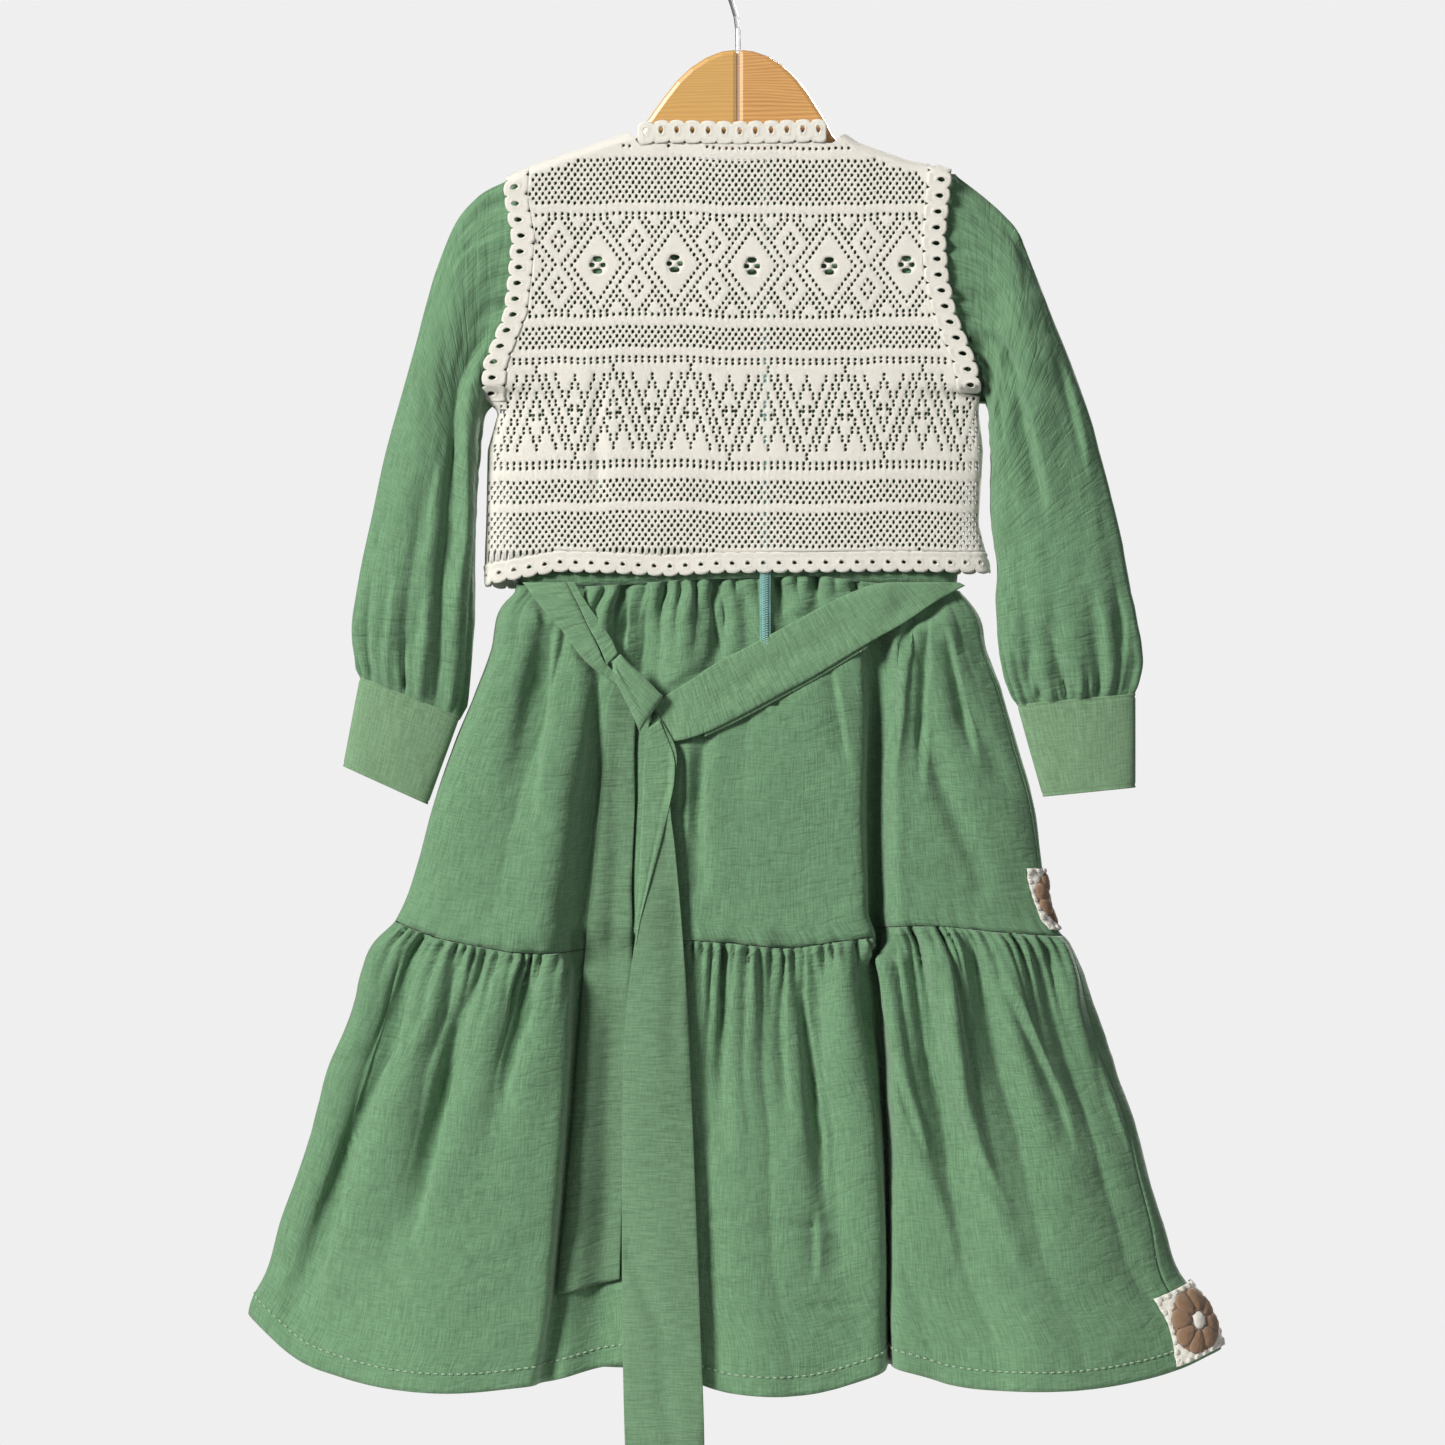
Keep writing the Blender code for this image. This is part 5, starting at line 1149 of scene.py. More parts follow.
def build_lace(name, side, x_from, x_to):
    """Panel of the overlay worked from the chart, a cell of the chart to each stitch group."""
    lines, rows = chart_rows()
    columns = range(math.floor((x_from - CHART_X) / HALF_COLUMN) - 1,
                    math.ceil((x_to - CHART_X) / HALF_COLUMN) + 2)
    across = CHART_X + HALF_COLUMN * (np.arange(columns[0], columns[-1] + 2) - 0.5)
    plain = len(EDGE_ROWS)
    grid, pinned = lace_grid(side, [None] * plain + lines, across, x_from, x_to)
    stride = len(across)
    places = [tuple(p) for p in grid.reshape(-1, 2)]
    lift = [0.0] * len(places)
    faces = []
    skipped = flower_cells(rows, columns, pinned) if side == "back" else {}
    for i, (kind, k, count) in enumerate([("plain", 0, 1)] * plain + rows):
        for j, column in enumerate(columns):
            if (i, j) in skipped:
                continue
            corners = [i * stride + j, (i + 1) * stride + j, (i + 1) * stride + j + 1, i * stride + j + 1]
            a, b, c, d = spots = [np.array(places[n]) for n in corners]
            if abs((c - a)[0] * (d - b)[1] - (c - a)[1] * (d - b)[0]) / 2 < SMALLEST_CELL:
                continue
            hole = 0.0 if pinned[i:i + 2, j:j + 2].any() else opening(kind, k, count, column)
            if hole:
                pierce_cell(corners, spots, hole, (i, j), places, lift, faces)
            else:
                faces.append(corners)
    for cells in {tuple(v) for v in skipped.values()}:
        add_flower(cells, grid, stride, places, lift, faces)
    faces = tidy_faces(faces, places)
    places = np.array(places)
    points, out = overlay_surface(side, places[:, 0], places[:, 1])
    outer = points + out * np.array(lift)[:, None]
    inner = points - out * CROCHET
    sign = -1.0 if side == "back" else 1.0
    for wall, least in ((outer, 0.12), (inner, 0.06)):
        wall[:, 1] = sign * np.maximum(sign * wall[:, 1], least)
    piece = closed_wall(name + "_lace", outer, inner, faces, places, side == "front", [name])


def tidy_faces(faces, places):
    """Faces with corners that share one place joined, and those that lose their area left out."""
    spots, kept = {}, []
    same = [spots.setdefault((round(x, 3), round(z, 3)), n) for n, (x, z) in enumerate(places)]
    for face in faces:
        corners = []
        for n in face:
            if same[n] not in corners:
                corners.append(same[n])
        if len(corners) > 2:
            kept.append(corners)
    return kept


def flower_cells(rows, columns, pinned):
    """Cells of the chart that an openwork flower takes up: five rows by seven columns."""
    taken = {}
    middle = next(i for i, row in enumerate(rows) if row[0] == "flowers") + 11 + len(EDGE_ROWS)
    for j, column in enumerate(columns):
        if off_repeat(column, 0) or j < 3 or j + 4 > len(columns):
            continue
        if pinned[middle - 2:middle + 4, j - 3:j + 5].any():
            continue
        block = (middle - 2, middle + 2, j - 3, j + 3)
        taken.update({(i, k): block for i in range(middle - 2, middle + 3) for k in range(j - 3, j + 4)})
    return taken


def add_flower(block, grid, stride, places, lift, faces):
    """Four rounded openings round a cross of yarn, filled in between the chart's cells."""
    i0, i1, j0, j1 = block
    rim = [(i, j0) for i in range(i0, i1 + 2)] + [(i1 + 1, j) for j in range(j0 + 1, j1 + 2)]
    rim += [(i, j1 + 1) for i in range(i1, i0 - 1, -1)] + [(i0, j) for j in range(j1, j0, -1)]
    numbers = [i * stride + j for i, j in rim]
    mid_x, mid_z = np.mean([grid[i, j] for i, j in rim], axis=0)
    points = [Vector(places[n]) for n in numbers]
    edges = [(n, (n + 1) % len(points)) for n in range(len(points))]
    holes = []
    for px, pz, half_w, half_h in FLOWER_HOLES:
        start = len(points)
        holes.append((mid_x + px, mid_z + pz, half_w, half_h))
        for k in range(HOLE_CORNERS):
            angle = 2 * math.pi * k / HOLE_CORNERS
            c, s = math.cos(angle), math.sin(angle)
            inward = 1 - 0.22 * max(0.0, -(c * px + s * pz) / math.hypot(px, pz))
            off_x, off_z = half_w * math.copysign(abs(c) ** 0.7, c), half_h * math.copysign(abs(s) ** 0.7, s)
            points.append(Vector((mid_x + px + off_x * (inward if px == 0 else 1),
                                  mid_z + pz + off_z * (inward if pz == 0 else 1))))
        edges += [(start + k, start + (k + 1) % HOLE_CORNERS) for k in range(HOLE_CORNERS)]
    crests = len(points)
    for angle in 2 * math.pi * np.arange(28) / 28:
        points.append(Vector((mid_x + 5.9 * math.cos(angle), mid_z + 6.5 * math.sin(angle))))
    points.append(Vector((mid_x, mid_z)))
    found, _, tris, _, _, _ = delaunay_2d_cdt(points, edges, [], 1, 1e-5)
    for n, point in enumerate(found[len(numbers):], len(numbers)):
        numbers.append(len(places))
        places.append((point.x, point.y))
        lift.append(-0.5 if n < crests else 0.25)
    for tri in tris:
        a, b, c = (found[n] for n in tri)
        middle = (Vector((0, 0)) + a + b + c) / 3
        if any(abs((middle.x - x) / half_w) ** 2.6 + abs((middle.y - z) / half_h) ** 2.6 < 0.93
               for x, z, half_w, half_h in holes):
            continue
        turn = (b.x - a.x) * (c.y - a.y) - (b.y - a.y) * (c.x - a.x)
        faces.append([numbers[n] for n in (tri if turn > 0 else reversed(tri))])


build_lace("overlay_back", "back", -170.0, 170.0)
build_lace("overlay_front_left", "front", -170.0, OPEN_LEFT)
build_lace("overlay_front_right", "front", OPEN_RIGHT, 170.0)


# ---- edgings of the overlay ----

EYELET_PITCH = 10.2
UNIT_TURNS = 24
UNIT_RINGS = (0.0, 0.10, 0.26, 0.46, 0.72, 1.0)


def edging_unit(width, hole_w, hole_h, centre, scallop):
    """Places (along, inward) of one edging unit round its eyelet, their lift and their ring's corners."""
    places, lifts = [], []
    for ring in UNIT_RINGS:
        for k in range(UNIT_TURNS):
            angle = 2 * math.pi * (k + 0.5) / UNIT_TURNS
            c, s = math.cos(angle), math.sin(angle)
            narrow = 1 - 0.35 * max(0.0, s)
            near = (hole_w * c * narrow, hole_h * s)
            reach_x = EYELET_PITCH / 2 / max(abs(c), 1e-6)
            reach_y = (width - centre if s > 0 else centre) / max(abs(s), 1e-6)
            reach = min(reach_x, reach_y)
            far = [c * reach, s * reach]
            scalloped = s < 0 and reach_y < reach_x
            if scalloped:
                far[1] -= scallop * math.cos(math.pi * far[0] / EYELET_PITCH) ** 0.8
            along = near[0] + (far[0] - near[0]) * ring
            inward = centre + near[1] + (far[1] - near[1]) * ring
            rib = 0.32 * math.cos(UNIT_TURNS / 2 * angle + 0.3) * math.sin(math.pi * min(ring * 1.15, 1.0))
            bead = 0.55 * math.exp(-((ring - 0.12) / 0.10) ** 2) - 0.55 * math.exp(-(ring / 0.05) ** 2)
            cord = 0.75 * math.exp(-((inward - width + 1.6) / 0.9) ** 2)
            cord -= 0.35 * math.exp(-((inward - width + 3.2) / 0.7) ** 2)
            edge = -0.45 * math.exp(-((1.0 - ring) / 0.10) ** 2) * scalloped
            places.append((along, inward))
            lifts.append(rib * (ring < 1) + bead + cord + edge)
    faces = []
    for r in range(len(UNIT_RINGS) - 1):
        for k in range(UNIT_TURNS):
            a, b = r * UNIT_TURNS + k, r * UNIT_TURNS + (k + 1) % UNIT_TURNS
            faces.append((a, a + UNIT_TURNS, b + UNIT_TURNS, b))
    return places, lifts, faces


def edging(name, units, width, shape, locate, flip, flat):
    """Row of edging units; locate turns places (along, inward) into points and directions."""
    places, lifts, faces, spots = [], [], [], {}
    unit_places, unit_lifts, unit_faces = edging_unit(width, *shape)
    for unit in range(units):
        numbers = []
        for (along, inward), lift in zip(unit_places, unit_lifts):
            where = (along + (unit + 0.5) * EYELET_PITCH, inward)
            key = (round(where[0], 2), round(where[1], 2))
            if key not in spots:
                spots[key] = len(places)
                places.append(where)
                lifts.append(lift)
            numbers.append(spots[key])
        faces += [[numbers[k] for k in (reversed(face) if flip else face)] for face in unit_faces]
    points, out = locate(np.array(places))
    outer = points + out * (np.array(lifts) + 0.15)[:, None]
    inner = points - out * CROCHET
    piece = closed_wall(name, outer, inner, faces, np.array(places), False, ["overlay_" + name])


def armhole_place(side_x, start):
    """Places along an armhole: below zero down the front, above zero down the back."""
    key = "left" if side_x < 0 else "right"

    def locate(places):
        drop, inward = places[:, 0] + start, places[:, 1]
        back = drop >= 0
        edge_top = by_side(OVERLAY_TOP, back, np.full(len(drop), side_x * 200.0))
        level = edge_top - np.abs(drop)
        x = straight(OVERLAY, "z", key, level) - side_x * inward
        z = level + (by_side(OVERLAY_TOP, back, x) - edge_top) * np.exp(-np.abs(drop) / 12)
        x = straight(OVERLAY, "z", key, z) - side_x * inward
        depth = np.where(back, lace_depth("back", x, z), lace_depth("front", x, z))
        sign, step = np.where(back, -1.0, 1.0), 0.4
        slope = (lace_depth("back", x, z + step) - depth) / step
        out = np.stack([np.zeros(len(x)), sign, -slope * np.exp(-np.abs(drop) / 4)], axis=1)
        return np.stack([x, sign * depth, z], axis=1), out / np.linalg.norm(out, axis=1)[:, None]

    return locate


def neck_place(places):
    x = places[:, 0] - 66.5
    drop = places[:, 1]
    top = straight(OVERLAY_TOP, "x", "back", x)
    closed = straight(OVERLAY_TOP, "x", "closed", x)
    z = top - drop * (1 - 0.8 * closed) + 1.5 * closed
    depth = straight(OVERLAY, "z", "depth", z) - 3.0 * closed
    depth = depth + 0.5 * rumple(x / 30, z / 40, 61)
    return np.stack([x, -depth, z], axis=1), np.tile([0.0, -1.0, 0.0], (len(x), 1))


def hem_runs():
    """Line round the overlay's hem from the left front edge by the back to the right front edge."""
    left, right = OVERLAY[-1].left, OVERLAY[-1].right
    first = -math.acos(1 - 2 * (OPEN_LEFT - left) / (right - left))
    last = math.pi + math.acos(1 - 2 * (right - OPEN_RIGHT) / (right - left))
    turns = np.linspace(first, last, 1200)
    return turns, run_along(hem_section(turns, left, right, OVERLAY[-1].depth))


def hem_section(turns, left, right, full):
    """Places (x, y) round the flattened tube of the hem."""
    share = swing(turns)
    sign = np.where((turns >= 0) & (turns <= math.pi), -1, 1)
    return np.stack([left + (right - left) * share, sign * full * bulge(share)], axis=1)


def hem_place(places):
    turns, run = hem_runs()
    turn = np.interp(places[:, 0], run, turns)
    share = swing(turn)
    back = (turn >= 0) & (turn <= math.pi)
    x = OVERLAY[-1].left + (OVERLAY[-1].right - OVERLAY[-1].left) * share
    z = by_side(HEM_LINE, back, x) + places[:, 1]
    left, right, full = (straight(OVERLAY, "z", name, z) for name in ("left", "right", "depth"))
    x = left + (right - left) * share
    flare = 0.8 * (2 * wander(x / 23, 66) - 1) * np.clip(1 - places[:, 1] / 11, 0, 1)
    depth = full * bulge(share) + flare * ease(full * bulge(share) / 6)
    ahead, behind = (np.interp(places[:, 0] + step, run, turns) for step in (1, -1))
    way = hem_section(ahead, left, right, full) - hem_section(behind, left, right, full)
    out = np.stack([way[:, 1], -way[:, 0], np.zeros(len(x))], axis=1)
    out /= np.maximum(np.linalg.norm(out, axis=1), 1e-9)[:, None]
    return np.stack([x, np.where(back, -depth, depth), z], axis=1), out


def build_edgings():
    for name, side_x in (("left", -1), ("right", 1)):
        # the outer edge is at inward 0, so seen from behind the left edging runs the other way round
        edging("armhole_edging_" + name, 29, EDGING + OVERLAP, (1.45, 2.4, 5.4, 1.5),
               armhole_place(side_x, -149.0), side_x > 0, (0.30, 0.015))
    edging("neck_edging", 12, NECK_EDGING + EDGING_GAP + OVERLAP, (1.4, 2.2, 5.2, 1.3), neck_place, True,
           (0.13, 0.013))
    edging("hem_edging", int(hem_runs()[1][-1] // EYELET_PITCH), HEM_EDGING + EDGING_GAP + OVERLAP,
           (1.5, 1.1, 5.2, 1.4), hem_place, False, (0.58, 0.012))


build_edgings()


# ---- sash ----

def skirt_depth(x, z):
    full = read(SKIRT, "z", "back", z) * bulge(skirt_share(x, z))
    return clear_of_middle(full - folds_at(BACK_FOLDS, x, z))


def skirt_cover(x, z, bridge=BRIDGE):
    """Depth that clears the skirt's ridges round a place, for cloth that bridges its folds."""
    most = np.zeros_like(x)
    for dx in np.linspace(-bridge, bridge, 13):
        for dz in (-bridge / 2, 0, bridge / 2):
            most = np.maximum(most, skirt_depth(x + dx, z + dz))
    return most


def soften(values, times):
    for _ in range(times):
        values = np.concatenate([values[:1], (values[:-2] + 2 * values[1:-1] + values[2:]) / 4, values[-1:]])
    return values


def strip_edges(table, rows):
    """Edges and lift of a strip at even steps along it."""
    index, steps = np.arange(len(table), dtype=float), np.linspace(0, len(table) - 1, rows)
    columns = columns_of(table, Strip._fields)
    x_a, z_a, x_b, z_b, _ = (smooth_line(index, values, steps) for values in columns)
    run = run_along(np.stack([(x_a + x_b) / 2, (z_a + z_b) / 2], axis=1))
    even = np.interp(np.linspace(0, run[-1], rows), run, steps)
    return [smooth_line(index, values, even) for values in columns]


def strip_places(table, rows, across):
    """Places x and z on a strip, each row's share of its width, and its rows' widths and lifts."""
    x_a, z_a, x_b, z_b, lift = strip_edges(table, rows)
    part = (across + 1) / 2
    x = x_a[:, None] + (x_b - x_a)[:, None] * part
    z = z_a[:, None] + (z_b - z_a)[:, None] * part
    return x, z, part, np.hypot(x_b - x_a, z_b - z_a)[:, None], lift[:, None]


def sash_strip(name, table, rows, nodes, raise_by=0.0, thick=SASH_CLOTH, creases=(), salt=0, wave=0.5,
               bridge=BRIDGE, finish=SASH):
    """Flat double strip with rounded, folded edges; creases are (x1, z1, x2, z2, width, depth)."""
    columns = 21
    across = -np.cos(np.linspace(0, math.pi, columns))
    x, z, part, width, lift = strip_places(table, rows, across)
    bed = soften(skirt_cover(x, z, bridge) + lift, 8)
    length = run_along(np.stack([x.mean(axis=1), z.mean(axis=1)], axis=1))[:, None]
    u, v = part * width, np.broadcast_to(-length, x.shape)
    half = thick / 2 * np.sqrt(np.maximum(1 - np.abs(across) ** 10, 0.0)) + 0.02
    soft = wave * rumple(u / 26 + salt, v / 47, 70 + salt) + 0.35 * wave * rumple(u / 9, v / 15, 75 + salt)
    for x1, z1, x2, z2, reach, deep in creases:
        run = np.hypot(x2 - x1, z2 - z1)
        t = ((x - x1) * (x2 - x1) + (z - z1) * (z2 - z1)) / run ** 2
        off = ((x - x1) * (z2 - z1) - (z - z1) * (x2 - x1)) / run
        soft = soft - deep * np.exp(-(off / reach) ** 2) * ease(t / 0.2) * ease((1 - t) / 0.2)
    middle = -(bed + thick / 2 + raise_by) - soft * ease((1 - np.abs(across)) / 0.15)
    sides = [np.stack([x, middle + shift, z], axis=2).reshape(-1, 3) for shift in (-half, half)]
    points = np.concatenate(sides)
    places = np.concatenate([np.stack([u + salt * 77.0, v], axis=2).reshape(-1, 2)] * 2)
    piece = add_piece(name, points, shell_faces(rows, columns), places, finish, nodes)


TURNED_LAYER = [Strip(*row) for row in (
    (-59, -532, -52, -527, 4.4), (-62, -552, -43, -550, 4.6), (-63, -568, -42.5, -566, 4.8),
    (-63, -580, -45, -580, 5.0), (-64, -602, -50, -602, 5.2), (-65, -621, -55, -621, 5.2),
    (-65.5, -638, -59.5, -638, 5.2), (-66.5, -655, -64, -655, 5.0), (-68, -672, -67, -672, 4.8),
)]
WRAP = [Strip(*row) for row in (
    (-82.5, -489.5, -77.5, -484.5, 0), (-81.5, -499, -69, -493, 0), (-75, -513, -59, -502, 0),
    (-69, -525, -52, -509.5, 0), (-65, -535, -49.5, -511.5, 0),
)]


def build_knot():
    """Flat wrap of the knot: a fold of the sash that turns under itself at both ends."""
    rows, count = 60, 62
    turn = np.linspace(0, 2 * math.pi, count, endpoint=False)
    x, z, part, _, _ = strip_places(WRAP, rows, -np.cos(turn))
    down = np.linspace(0, 1, rows)[:, None]
    bed = float(skirt_cover(np.array([-66.0]), np.array([-510.0]))[0]) + KNOT_LIFT
    rounded = 3.6 * np.sqrt(np.clip(1 - (2 * down - 1) ** 6, 0, 1))
    half = rounded * np.abs(np.sin(turn)) ** 0.5 * np.sign(np.sin(turn))
    ridge = 0.7 * np.exp(-((part - 0.22) / 0.07) ** 2) - 0.6 * np.exp(-((part - 0.33) / 0.05) ** 2)
    ridge = ridge * (np.sin(turn) > 0) * ease(down / 0.2) * ease((1 - down) / 0.3)
    y = -bed - half - ridge - 0.35 * rumple(part * 3, down * 2.6, 81) + 2.0 * down * (1 - part)
    grid = np.stack([x, y, z], axis=2)
    points = np.concatenate([grid.reshape(-1, 3), grid[:1].mean(axis=1), grid[-1:].mean(axis=1)])
    faces, last = [], (rows - 1) * count
    for i in range(rows - 1):
        for j in range(count):
            a, b = i * count + j, i * count + (j + 1) % count
            faces.append((a, a + count, b + count, b))
    for j in range(count):
        after = (j + 1) % count
        faces += [(rows * count, j, after), (rows * count + 1, last + after, last + j)]
    uv = 0.7 * np.stack([points[:, 0] - points[:, 2], points[:, 0] + points[:, 2]], axis=1)
    piece = add_piece("sash_knot_wrap", points, faces, uv, SASH, ["sash_knot"])


def build_sash():
    sash_strip("sash_right", STRAND_RIGHT, 110, ["sash_strand_right"], salt=1,
               creases=((-20, -520, 20, -489, 5, 1.0), (10, -498, 80, -462, 6, 0.9)))
    under = [row._replace(x_a=row.x_a + 1.2, z_a=row.z_a - 2.0, z_b=row.z_b - 3)
             for row in STRAND_RIGHT[3:-2]]
    sash_strip("sash_right_under", under, 70, [], raise_by=-1.1, thick=0.9, salt=2, wave=0.2)
    sash_strip("sash_left", STRAND_LEFT, 60, ["sash_strand_left"], salt=3)
    sash_strip("sash_narrow", STRAND_NARROW, 50, ["sash_strand_narrow"], salt=4, wave=0.2)
    # Both tails take the darker tail linen, which is painted shade.
    sash_strip("sash_short", TAIL_SHORT, 130, ["sash_tail_short"], salt=5, wave=1.4,
               bridge=2.0, finish=SHADED_TAIL_LINEN, creases=((-80, -520, -84, -700, 5, 1.6),))
    sash_strip("sash_long", TAIL_LONG, 170, ["sash_tail_long"], salt=6, wave=1.3, finish=SHADED_TAIL_LINEN,
               creases=((-76, -858, -45, -936, 5, 3.0), (-52, -925, -44, -1010, 5, 2.0),
                        (-40, -600, -44, -760, 6, 1.4)))
    sash_strip("sash_turned", TURNED_LAYER, 90, [], raise_by=0.2, thick=1.2, salt=7, wave=0.2,
               creases=((-46, -552, -46, -575, 0.7, 0.7), (-46, -566, -52, -588, 0.7, 0.7),
                        (-50, -582, -66, -660, 0.7, 0.6)))
    build_knot()


build_sash()


# ---- zip, hem stitches and patches ----

def small_box(points, faces, middle, along, across, out, size):
    """Adds a small block, narrower at its top, to lists of points and faces."""
    start = len(points)
    for up, shrink in ((0.0, 1.0), (1.0, 0.72)):
        for i, j in ((-1, -1), (1, -1), (1, 1), (-1, 1)):
            points.append(middle + along * (i * size[0] / 2 * shrink) + across * (j * size[1] / 2 * shrink)
                          + out * (up * size[2]))
    faces += [(start + 4, start + 5, start + 6, start + 7), (start + 3, start + 2, start + 1, start)]
    for k, n in ((0, 1), (1, 2), (2, 3), (3, 0)):
        faces.append((start + k, start + n, start + n + 4, start + k + 4))


def zip_bed(z):
    """Depth of the zip's underside: under the overlay's back, then on the skirt's gathers."""
    edges = np.array([ZIP_X - ZIP_WIDTH / 2, ZIP_X, ZIP_X + ZIP_WIDTH / 2])
    level = np.full(3, float(z))
    above = under_lace("back", edges, level, bodice_depth("back", edges, level)).max() + 0.5
    below = skirt_depth(np.linspace(ZIP_X - 9, ZIP_X + 9, 7), np.full(7, float(z))).max() + 2.2
    share = float(ease(np.array((-430 - z) / 12)))
    return above * (1 - share) + max(below, 17.4) * share


def build_zip():
    """Tape with two rows of coil, from the neck to below the waist seam."""
    heights = np.linspace(-168, -484, 157)
    beds = soften(np.array([zip_bed(z) for z in heights]), 6)
    x = ZIP_X + np.linspace(-ZIP_WIDTH / 2, ZIP_WIDTH / 2, 9)
    grid = np.zeros((len(heights), len(x), 3))
    grid[:, :, 0] = x
    grid[:, :, 1] = -(beds[:, None] + 0.6) - 0.25 * np.cos((x - ZIP_X) * 1.3)
    grid[:, :, 2] = heights[:, None]
    x_dir, y_dir, z_dir = np.eye(3)
    piece = shell("zip_tape_woven", grid, grid[:, :, ::2], TAPE, ["zip_tape"], thick=0.6,
                  out=np.broadcast_to(-y_dir, grid.shape))
    points, faces = [], []
    for z in np.arange(-172, -482, -1.5):
        bed = np.interp(-z, -heights, beds)
        for side in (-1, 1):
            middle = np.array([ZIP_X + side * 0.85, -(bed + 0.85), z + side * 0.35])
            small_box(points, faces, middle, x_dir, z_dir, -y_dir, (1.9, 0.85, 0.75))
    coil = add_piece("zip_coil", points, faces, None, COIL, [])
    coil.data.shade_flat()


def build_hem_stitches():
    """Line of running stitches above the hem, all round."""
    points, faces = [], []
    for key in ("lower_back", "lower_front"):
        grid = skirt[key]
        below = grid[:, :, 2] - grid[-1:, :, 2]
        rows, columns = grid.shape[:2]
        line = np.zeros((columns, 3))
        for j in range(columns):
            at = np.interp(-STITCHES_UP, -below[:, j], np.arange(rows))
            low = min(int(at), rows - 2)
            line[j] = grid[low, j] * (1 - at + low) + grid[low + 1, j] * (at - low)
        out, run = outward(grid)[-6], run_along(line)
        for start in np.arange(3, run[-1] - 3, STITCH_PITCH):
            a, b = at_lengths(line, run, start), at_lengths(line, run, start + STITCH)
            facing = at_lengths(out, run, start + 1.5)
            length = np.linalg.norm(b - a)
            along = (b - a) / max(length, 1e-6)
            small_box(points, faces, (a + b) / 2 + facing * 0.05, along, np.cross(facing, along), facing,
                      (length, 1.1, 0.7))
    add_piece("hem_stitches", points, faces, None, THREAD, [])


def round_seam(back, front, before, after):
    """Even grid across the right side seam: so many millimetres of the back, then of the front."""
    rows, own_rows = back.shape[0], front.shape[0]
    index = np.linspace(0, own_rows - 1, rows)
    same = np.stack([at_lengths(front[:, j], np.arange(own_rows), index)
                     for j in range(SEAM_COLUMNS)], axis=1)
    grid = np.zeros((rows, 41, 3))
    for i, line in enumerate(np.concatenate([back[:, -SEAM_COLUMNS:], same], axis=1)):
        run = run_along(line)
        where = np.linspace(run[SEAM_COLUMNS] - before, run[SEAM_COLUMNS] + after, 41)
        grid[i] = at_lengths(line, run, where)
    return grid


def panel_patch(grid, rows_from, rows_to):
    """Smooth function from places 0 to 1 across and down a patch to points on a panel."""
    rows, columns = grid.shape[0] - 1, grid.shape[1] - 1
    out = outward(grid)

    def locate(a, b, lift):
        i, j = rows * (rows_from + (rows_to - rows_from) * b), columns * a
        low_i, low_j = np.clip(i.astype(int), 0, rows - 1), np.clip(j.astype(int), 0, columns - 1)
        s, t = (i - low_i)[..., None], (j - low_j)[..., None]

        def sample(values):
            near = values[low_i, low_j] * (1 - t) + values[low_i, low_j + 1] * t
            far = values[low_i + 1, low_j] * (1 - t) + values[low_i + 1, low_j + 1] * t
            return near * (1 - s) + far * s

        return sample(grid) + sample(out) * np.asarray(lift)[..., None]

    return locate


def puffy(name, outline_of, count, locate, finish, lift, high):
    """Puffy crochet parts on a patch: each is a closed bump within its outline."""
    points, faces = [], []
    rings, turns = 5, 16
    for n in range(count):
        start = len(points)
        for size in np.arange(1, rings + 1) / rings:
            for k in range(turns):
                a, b = outline_of(n, 2 * math.pi * k / turns, size)
                h = lift + high * math.sqrt(max(1 - size ** 2, 0)) * (1 + 0.12 * math.cos(k * 4.0))
                points.append(locate(np.array(a), np.array(b), h))
        for r in range(rings - 1):
            for k in range(turns):
                a, b = start + r * turns + k, start + r * turns + (k + 1) % turns
                faces.append([a, a + turns, b + turns, b])
        faces.append([start + k for k in range(turns)])
        faces.append([start + (rings - 1) * turns + k for k in reversed(range(turns))])
    add_piece(name, points, faces, None, finish, [])


def build_patch(name, node, grid, rows_from, rows_to, lift):
    """Crocheted square with a flower of petals over leaves, a centre and loops round its edge."""
    locate = panel_patch(grid, rows_from ** (1 / ROW_POWER), rows_to ** (1 / ROW_POWER))
    b, a = np.meshgrid(*[np.linspace(0, 1, 36)] * 2, indexing="ij")
    px, py = a - 0.5, b - 0.5
    radius, angle = np.hypot(px, py), np.arctan2(py, px)
    ribs = 0.25 * np.cos(40 * radius) + 0.22 * np.cos(24 * angle) * ease((radius - 0.2) / 0.2)
    base = locate(a, b, lift + CROCHET + ribs)
    uv = np.stack([px, py], axis=2) * PATCH_SIZE
    square = shell(name + "_square", base, uv, LACE, [node], thick=CROCHET)

    def petal(n, turn, size, far=0.285, step=0.5):
        angle = 2 * math.pi * (n + step) / 8
        along = far + 0.175 * size * math.cos(turn)
        across = 0.118 * size * math.sin(turn) * (1.15 + 0.35 * math.cos(turn))
        return (0.5 + along * math.cos(angle) - across * math.sin(angle),
                0.5 + along * math.sin(angle) + across * math.cos(angle))

    def leaf(n, turn, size):
        return petal(n, turn, size, 0.315, 8.0)

    def centre(n, turn, size):
        return 0.5 + 0.12 * size * math.cos(turn), 0.5 + 0.13 * size * math.sin(turn)

    def loop(n, turn, size):
        side, step = divmod(n, 7)
        run = (step + 0.5) / 7
        a, b = ((run, 0.03), (0.97, run), (run, 0.97), (0.03, run))[side]
        return np.clip((a + 0.05 * size * math.cos(turn), b + 0.05 * size * math.sin(turn)), 0.0, 1.0)

    top = lift + CROCHET
    puffy(name + "_petals", petal, 8, locate, BROWN_YARN, top + 0.2, 1.8)
    puffy(name + "_leaves", leaf, 8, locate, BROWN_YARN, top - 0.5, 0.9)
    puffy(name + "_centre", centre, 1, locate, LACE, top + 0.3, 1.7)
    puffy(name + "_loops", loop, 28, locate, LACE, top - 0.2, 1.1)


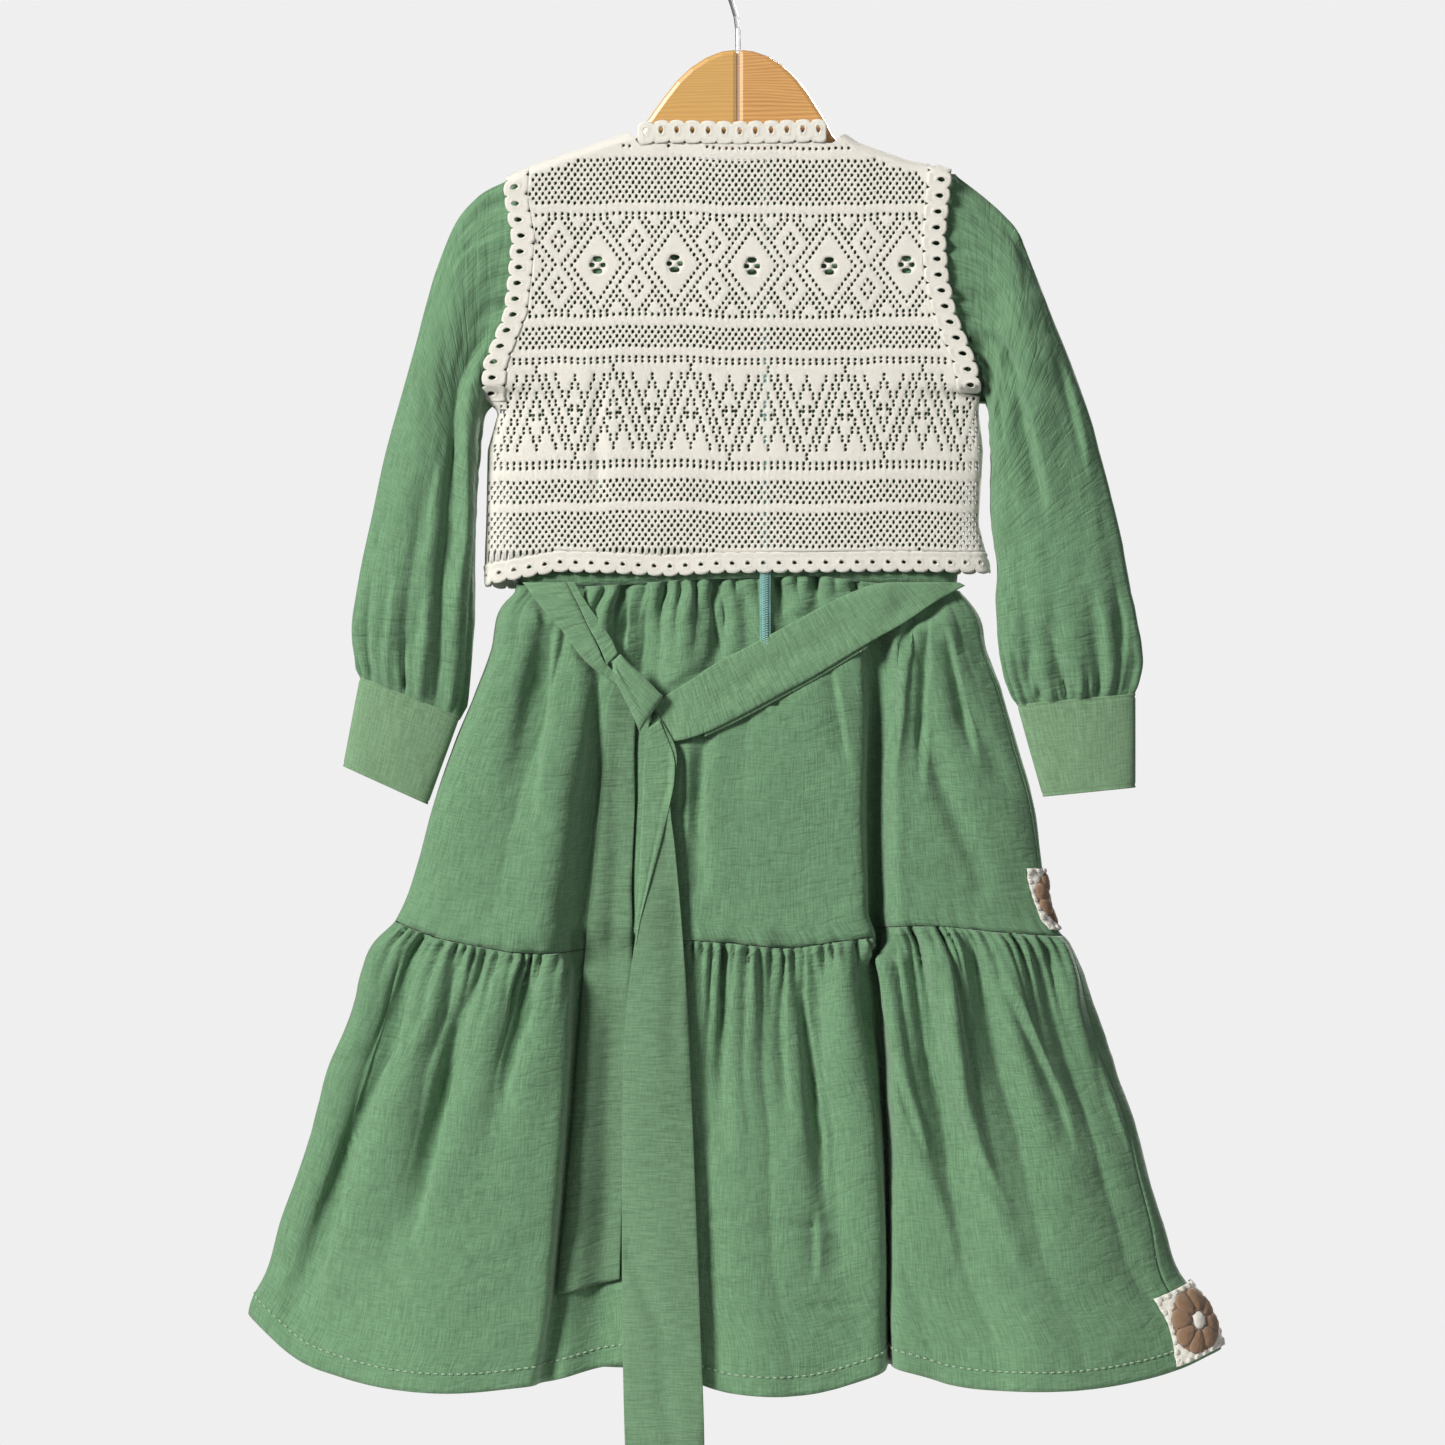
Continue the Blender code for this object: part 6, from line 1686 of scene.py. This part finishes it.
TAPE = linen("teal_zip_tape", (0.14, 0.30, 0.27), 0.5)
COIL = Nodes("teal_coil", 0.35).material
COIL.node_tree.nodes["Principled BSDF"].inputs["Base Color"].default_value = (0.26, 0.45, 0.44, 1)

build_zip()
build_hem_stitches()
build_patch("seam_patch", "patch_seam", round_seam(skirt["upper_back"], skirt["upper_front"], 11, 27),
            0.8076, 0.9875, 0.8)
build_patch("hem_patch", "patch_hem", round_seam(skirt["lower_back"], skirt["lower_front"], 13, 29),
            0.8415, 0.9922, 1.6)


# ---- hanger ----

def dress_node(node, finish):
    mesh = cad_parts[node].data
    mesh.materials.clear()
    mesh.materials.append(finish)


WIRE = Nodes("bright_wire_steel", 0.22, metallic=1.0)
scratches = WIRE.noise(WIRE.solid_place(1.5, 1.5, 0.15), detail=3)
WIRE.colour(WIRE.mix(WIRE.levels(scratches, 0.35, 0.7), (0.66, 0.65, 0.66, 1), (0.50, 0.49, 0.49, 1)))
WIRE.bump(scratches, 0.02)
dress_node("hanger_arm_left", wood("pale_wood_grain", (0.56, 0.335, 0.110, 1), (0.49, 0.275, 0.085, 1)))
dress_node("hanger_arm_right", wood("reddish_wood_grain", (0.59, 0.335, 0.118, 1), (0.44, 0.21, 0.066, 1)))
dress_node("hanger_hook", WIRE.material)
dress_node("zip_slider", WIRE.material)


# ---- camera, light and floor ----

def build_stage():
    low = CAD_BOX[0]
    mesh = bpy.data.meshes.new("floor")
    reach, z = 0.45, low.z - 0.06
    corners = [(-reach, -reach, z), (reach, -reach, z), (reach, reach, z), (-reach, reach, z)]
    mesh.from_pydata(corners, [], [(0, 1, 2, 3)])
    floor = bpy.data.objects.new("floor", mesh)
    bpy.context.scene.collection.objects.link(floor)
    paint = Nodes("pale_floor", 0.9)
    paint.shader.inputs["Base Color"].default_value = (0.82, 0.81, 0.80, 1)
    mesh.materials.append(paint.material)

    world = bpy.data.worlds.new("pale_room")
    world.use_nodes = True
    background = world.node_tree.nodes["Background"]
    background.inputs[0].default_value = (0.87, 0.865, 0.865, 1)
    background.inputs[1].default_value = 1.0
    dim = world.node_tree.nodes.new("ShaderNodeBackground")
    dim.inputs[0].default_value = (0.90, 0.92, 1.0, 1)
    dim.inputs[1].default_value = 0.12
    path = world.node_tree.nodes.new("ShaderNodeLightPath")
    blend = world.node_tree.nodes.new("ShaderNodeMixShader")
    output = world.node_tree.nodes["World Output"]
    links = world.node_tree.links
    links.new(path.outputs["Is Camera Ray"], blend.inputs[0])
    links.new(dim.outputs[0], blend.inputs[1])
    links.new(background.outputs[0], blend.inputs[2])
    links.new(blend.outputs[0], output.inputs[0])
    bpy.context.scene.world = world

    for name, place, size, power in (
        ("key_light", (-4.5, -3.9, 2.3), 1.6, 740.0),
        ("fill_light", (1.9, -2.4, 0.1), 1.8, 16.0),
        ("back_light", (2.2, 4.6, 1.6), 2.0, 330.0),
    ):
        lamp = bpy.data.lights.new(name, "AREA")
        lamp.energy = power
        lamp.size = size
        lamp.color = (1.0, 0.985, 0.96)
        holder = bpy.data.objects.new(name, lamp)
        holder.location = place
        aim = np.array([0, 0, -0.55]) - np.array(place)
        holder.rotation_euler = Vector(aim).to_track_quat("-Z", "Y").to_euler()
        bpy.context.scene.collection.objects.link(holder)

    camera = bpy.data.cameras.new("camera")
    sensor, distance, shown_across = 36, 4.5, 0.939
    camera.sensor_width = sensor
    camera.lens = sensor * distance / shown_across
    camera.clip_end = 60
    holder = bpy.data.objects.new("camera", camera)
    holder.location = (-0.0114, -distance, -0.5288)
    holder.rotation_euler = (math.pi / 2, 0, 0)
    bpy.context.scene.collection.objects.link(holder)
    bpy.context.scene.camera = holder
    bpy.context.scene.view_settings.view_transform = "Standard"


build_stage()
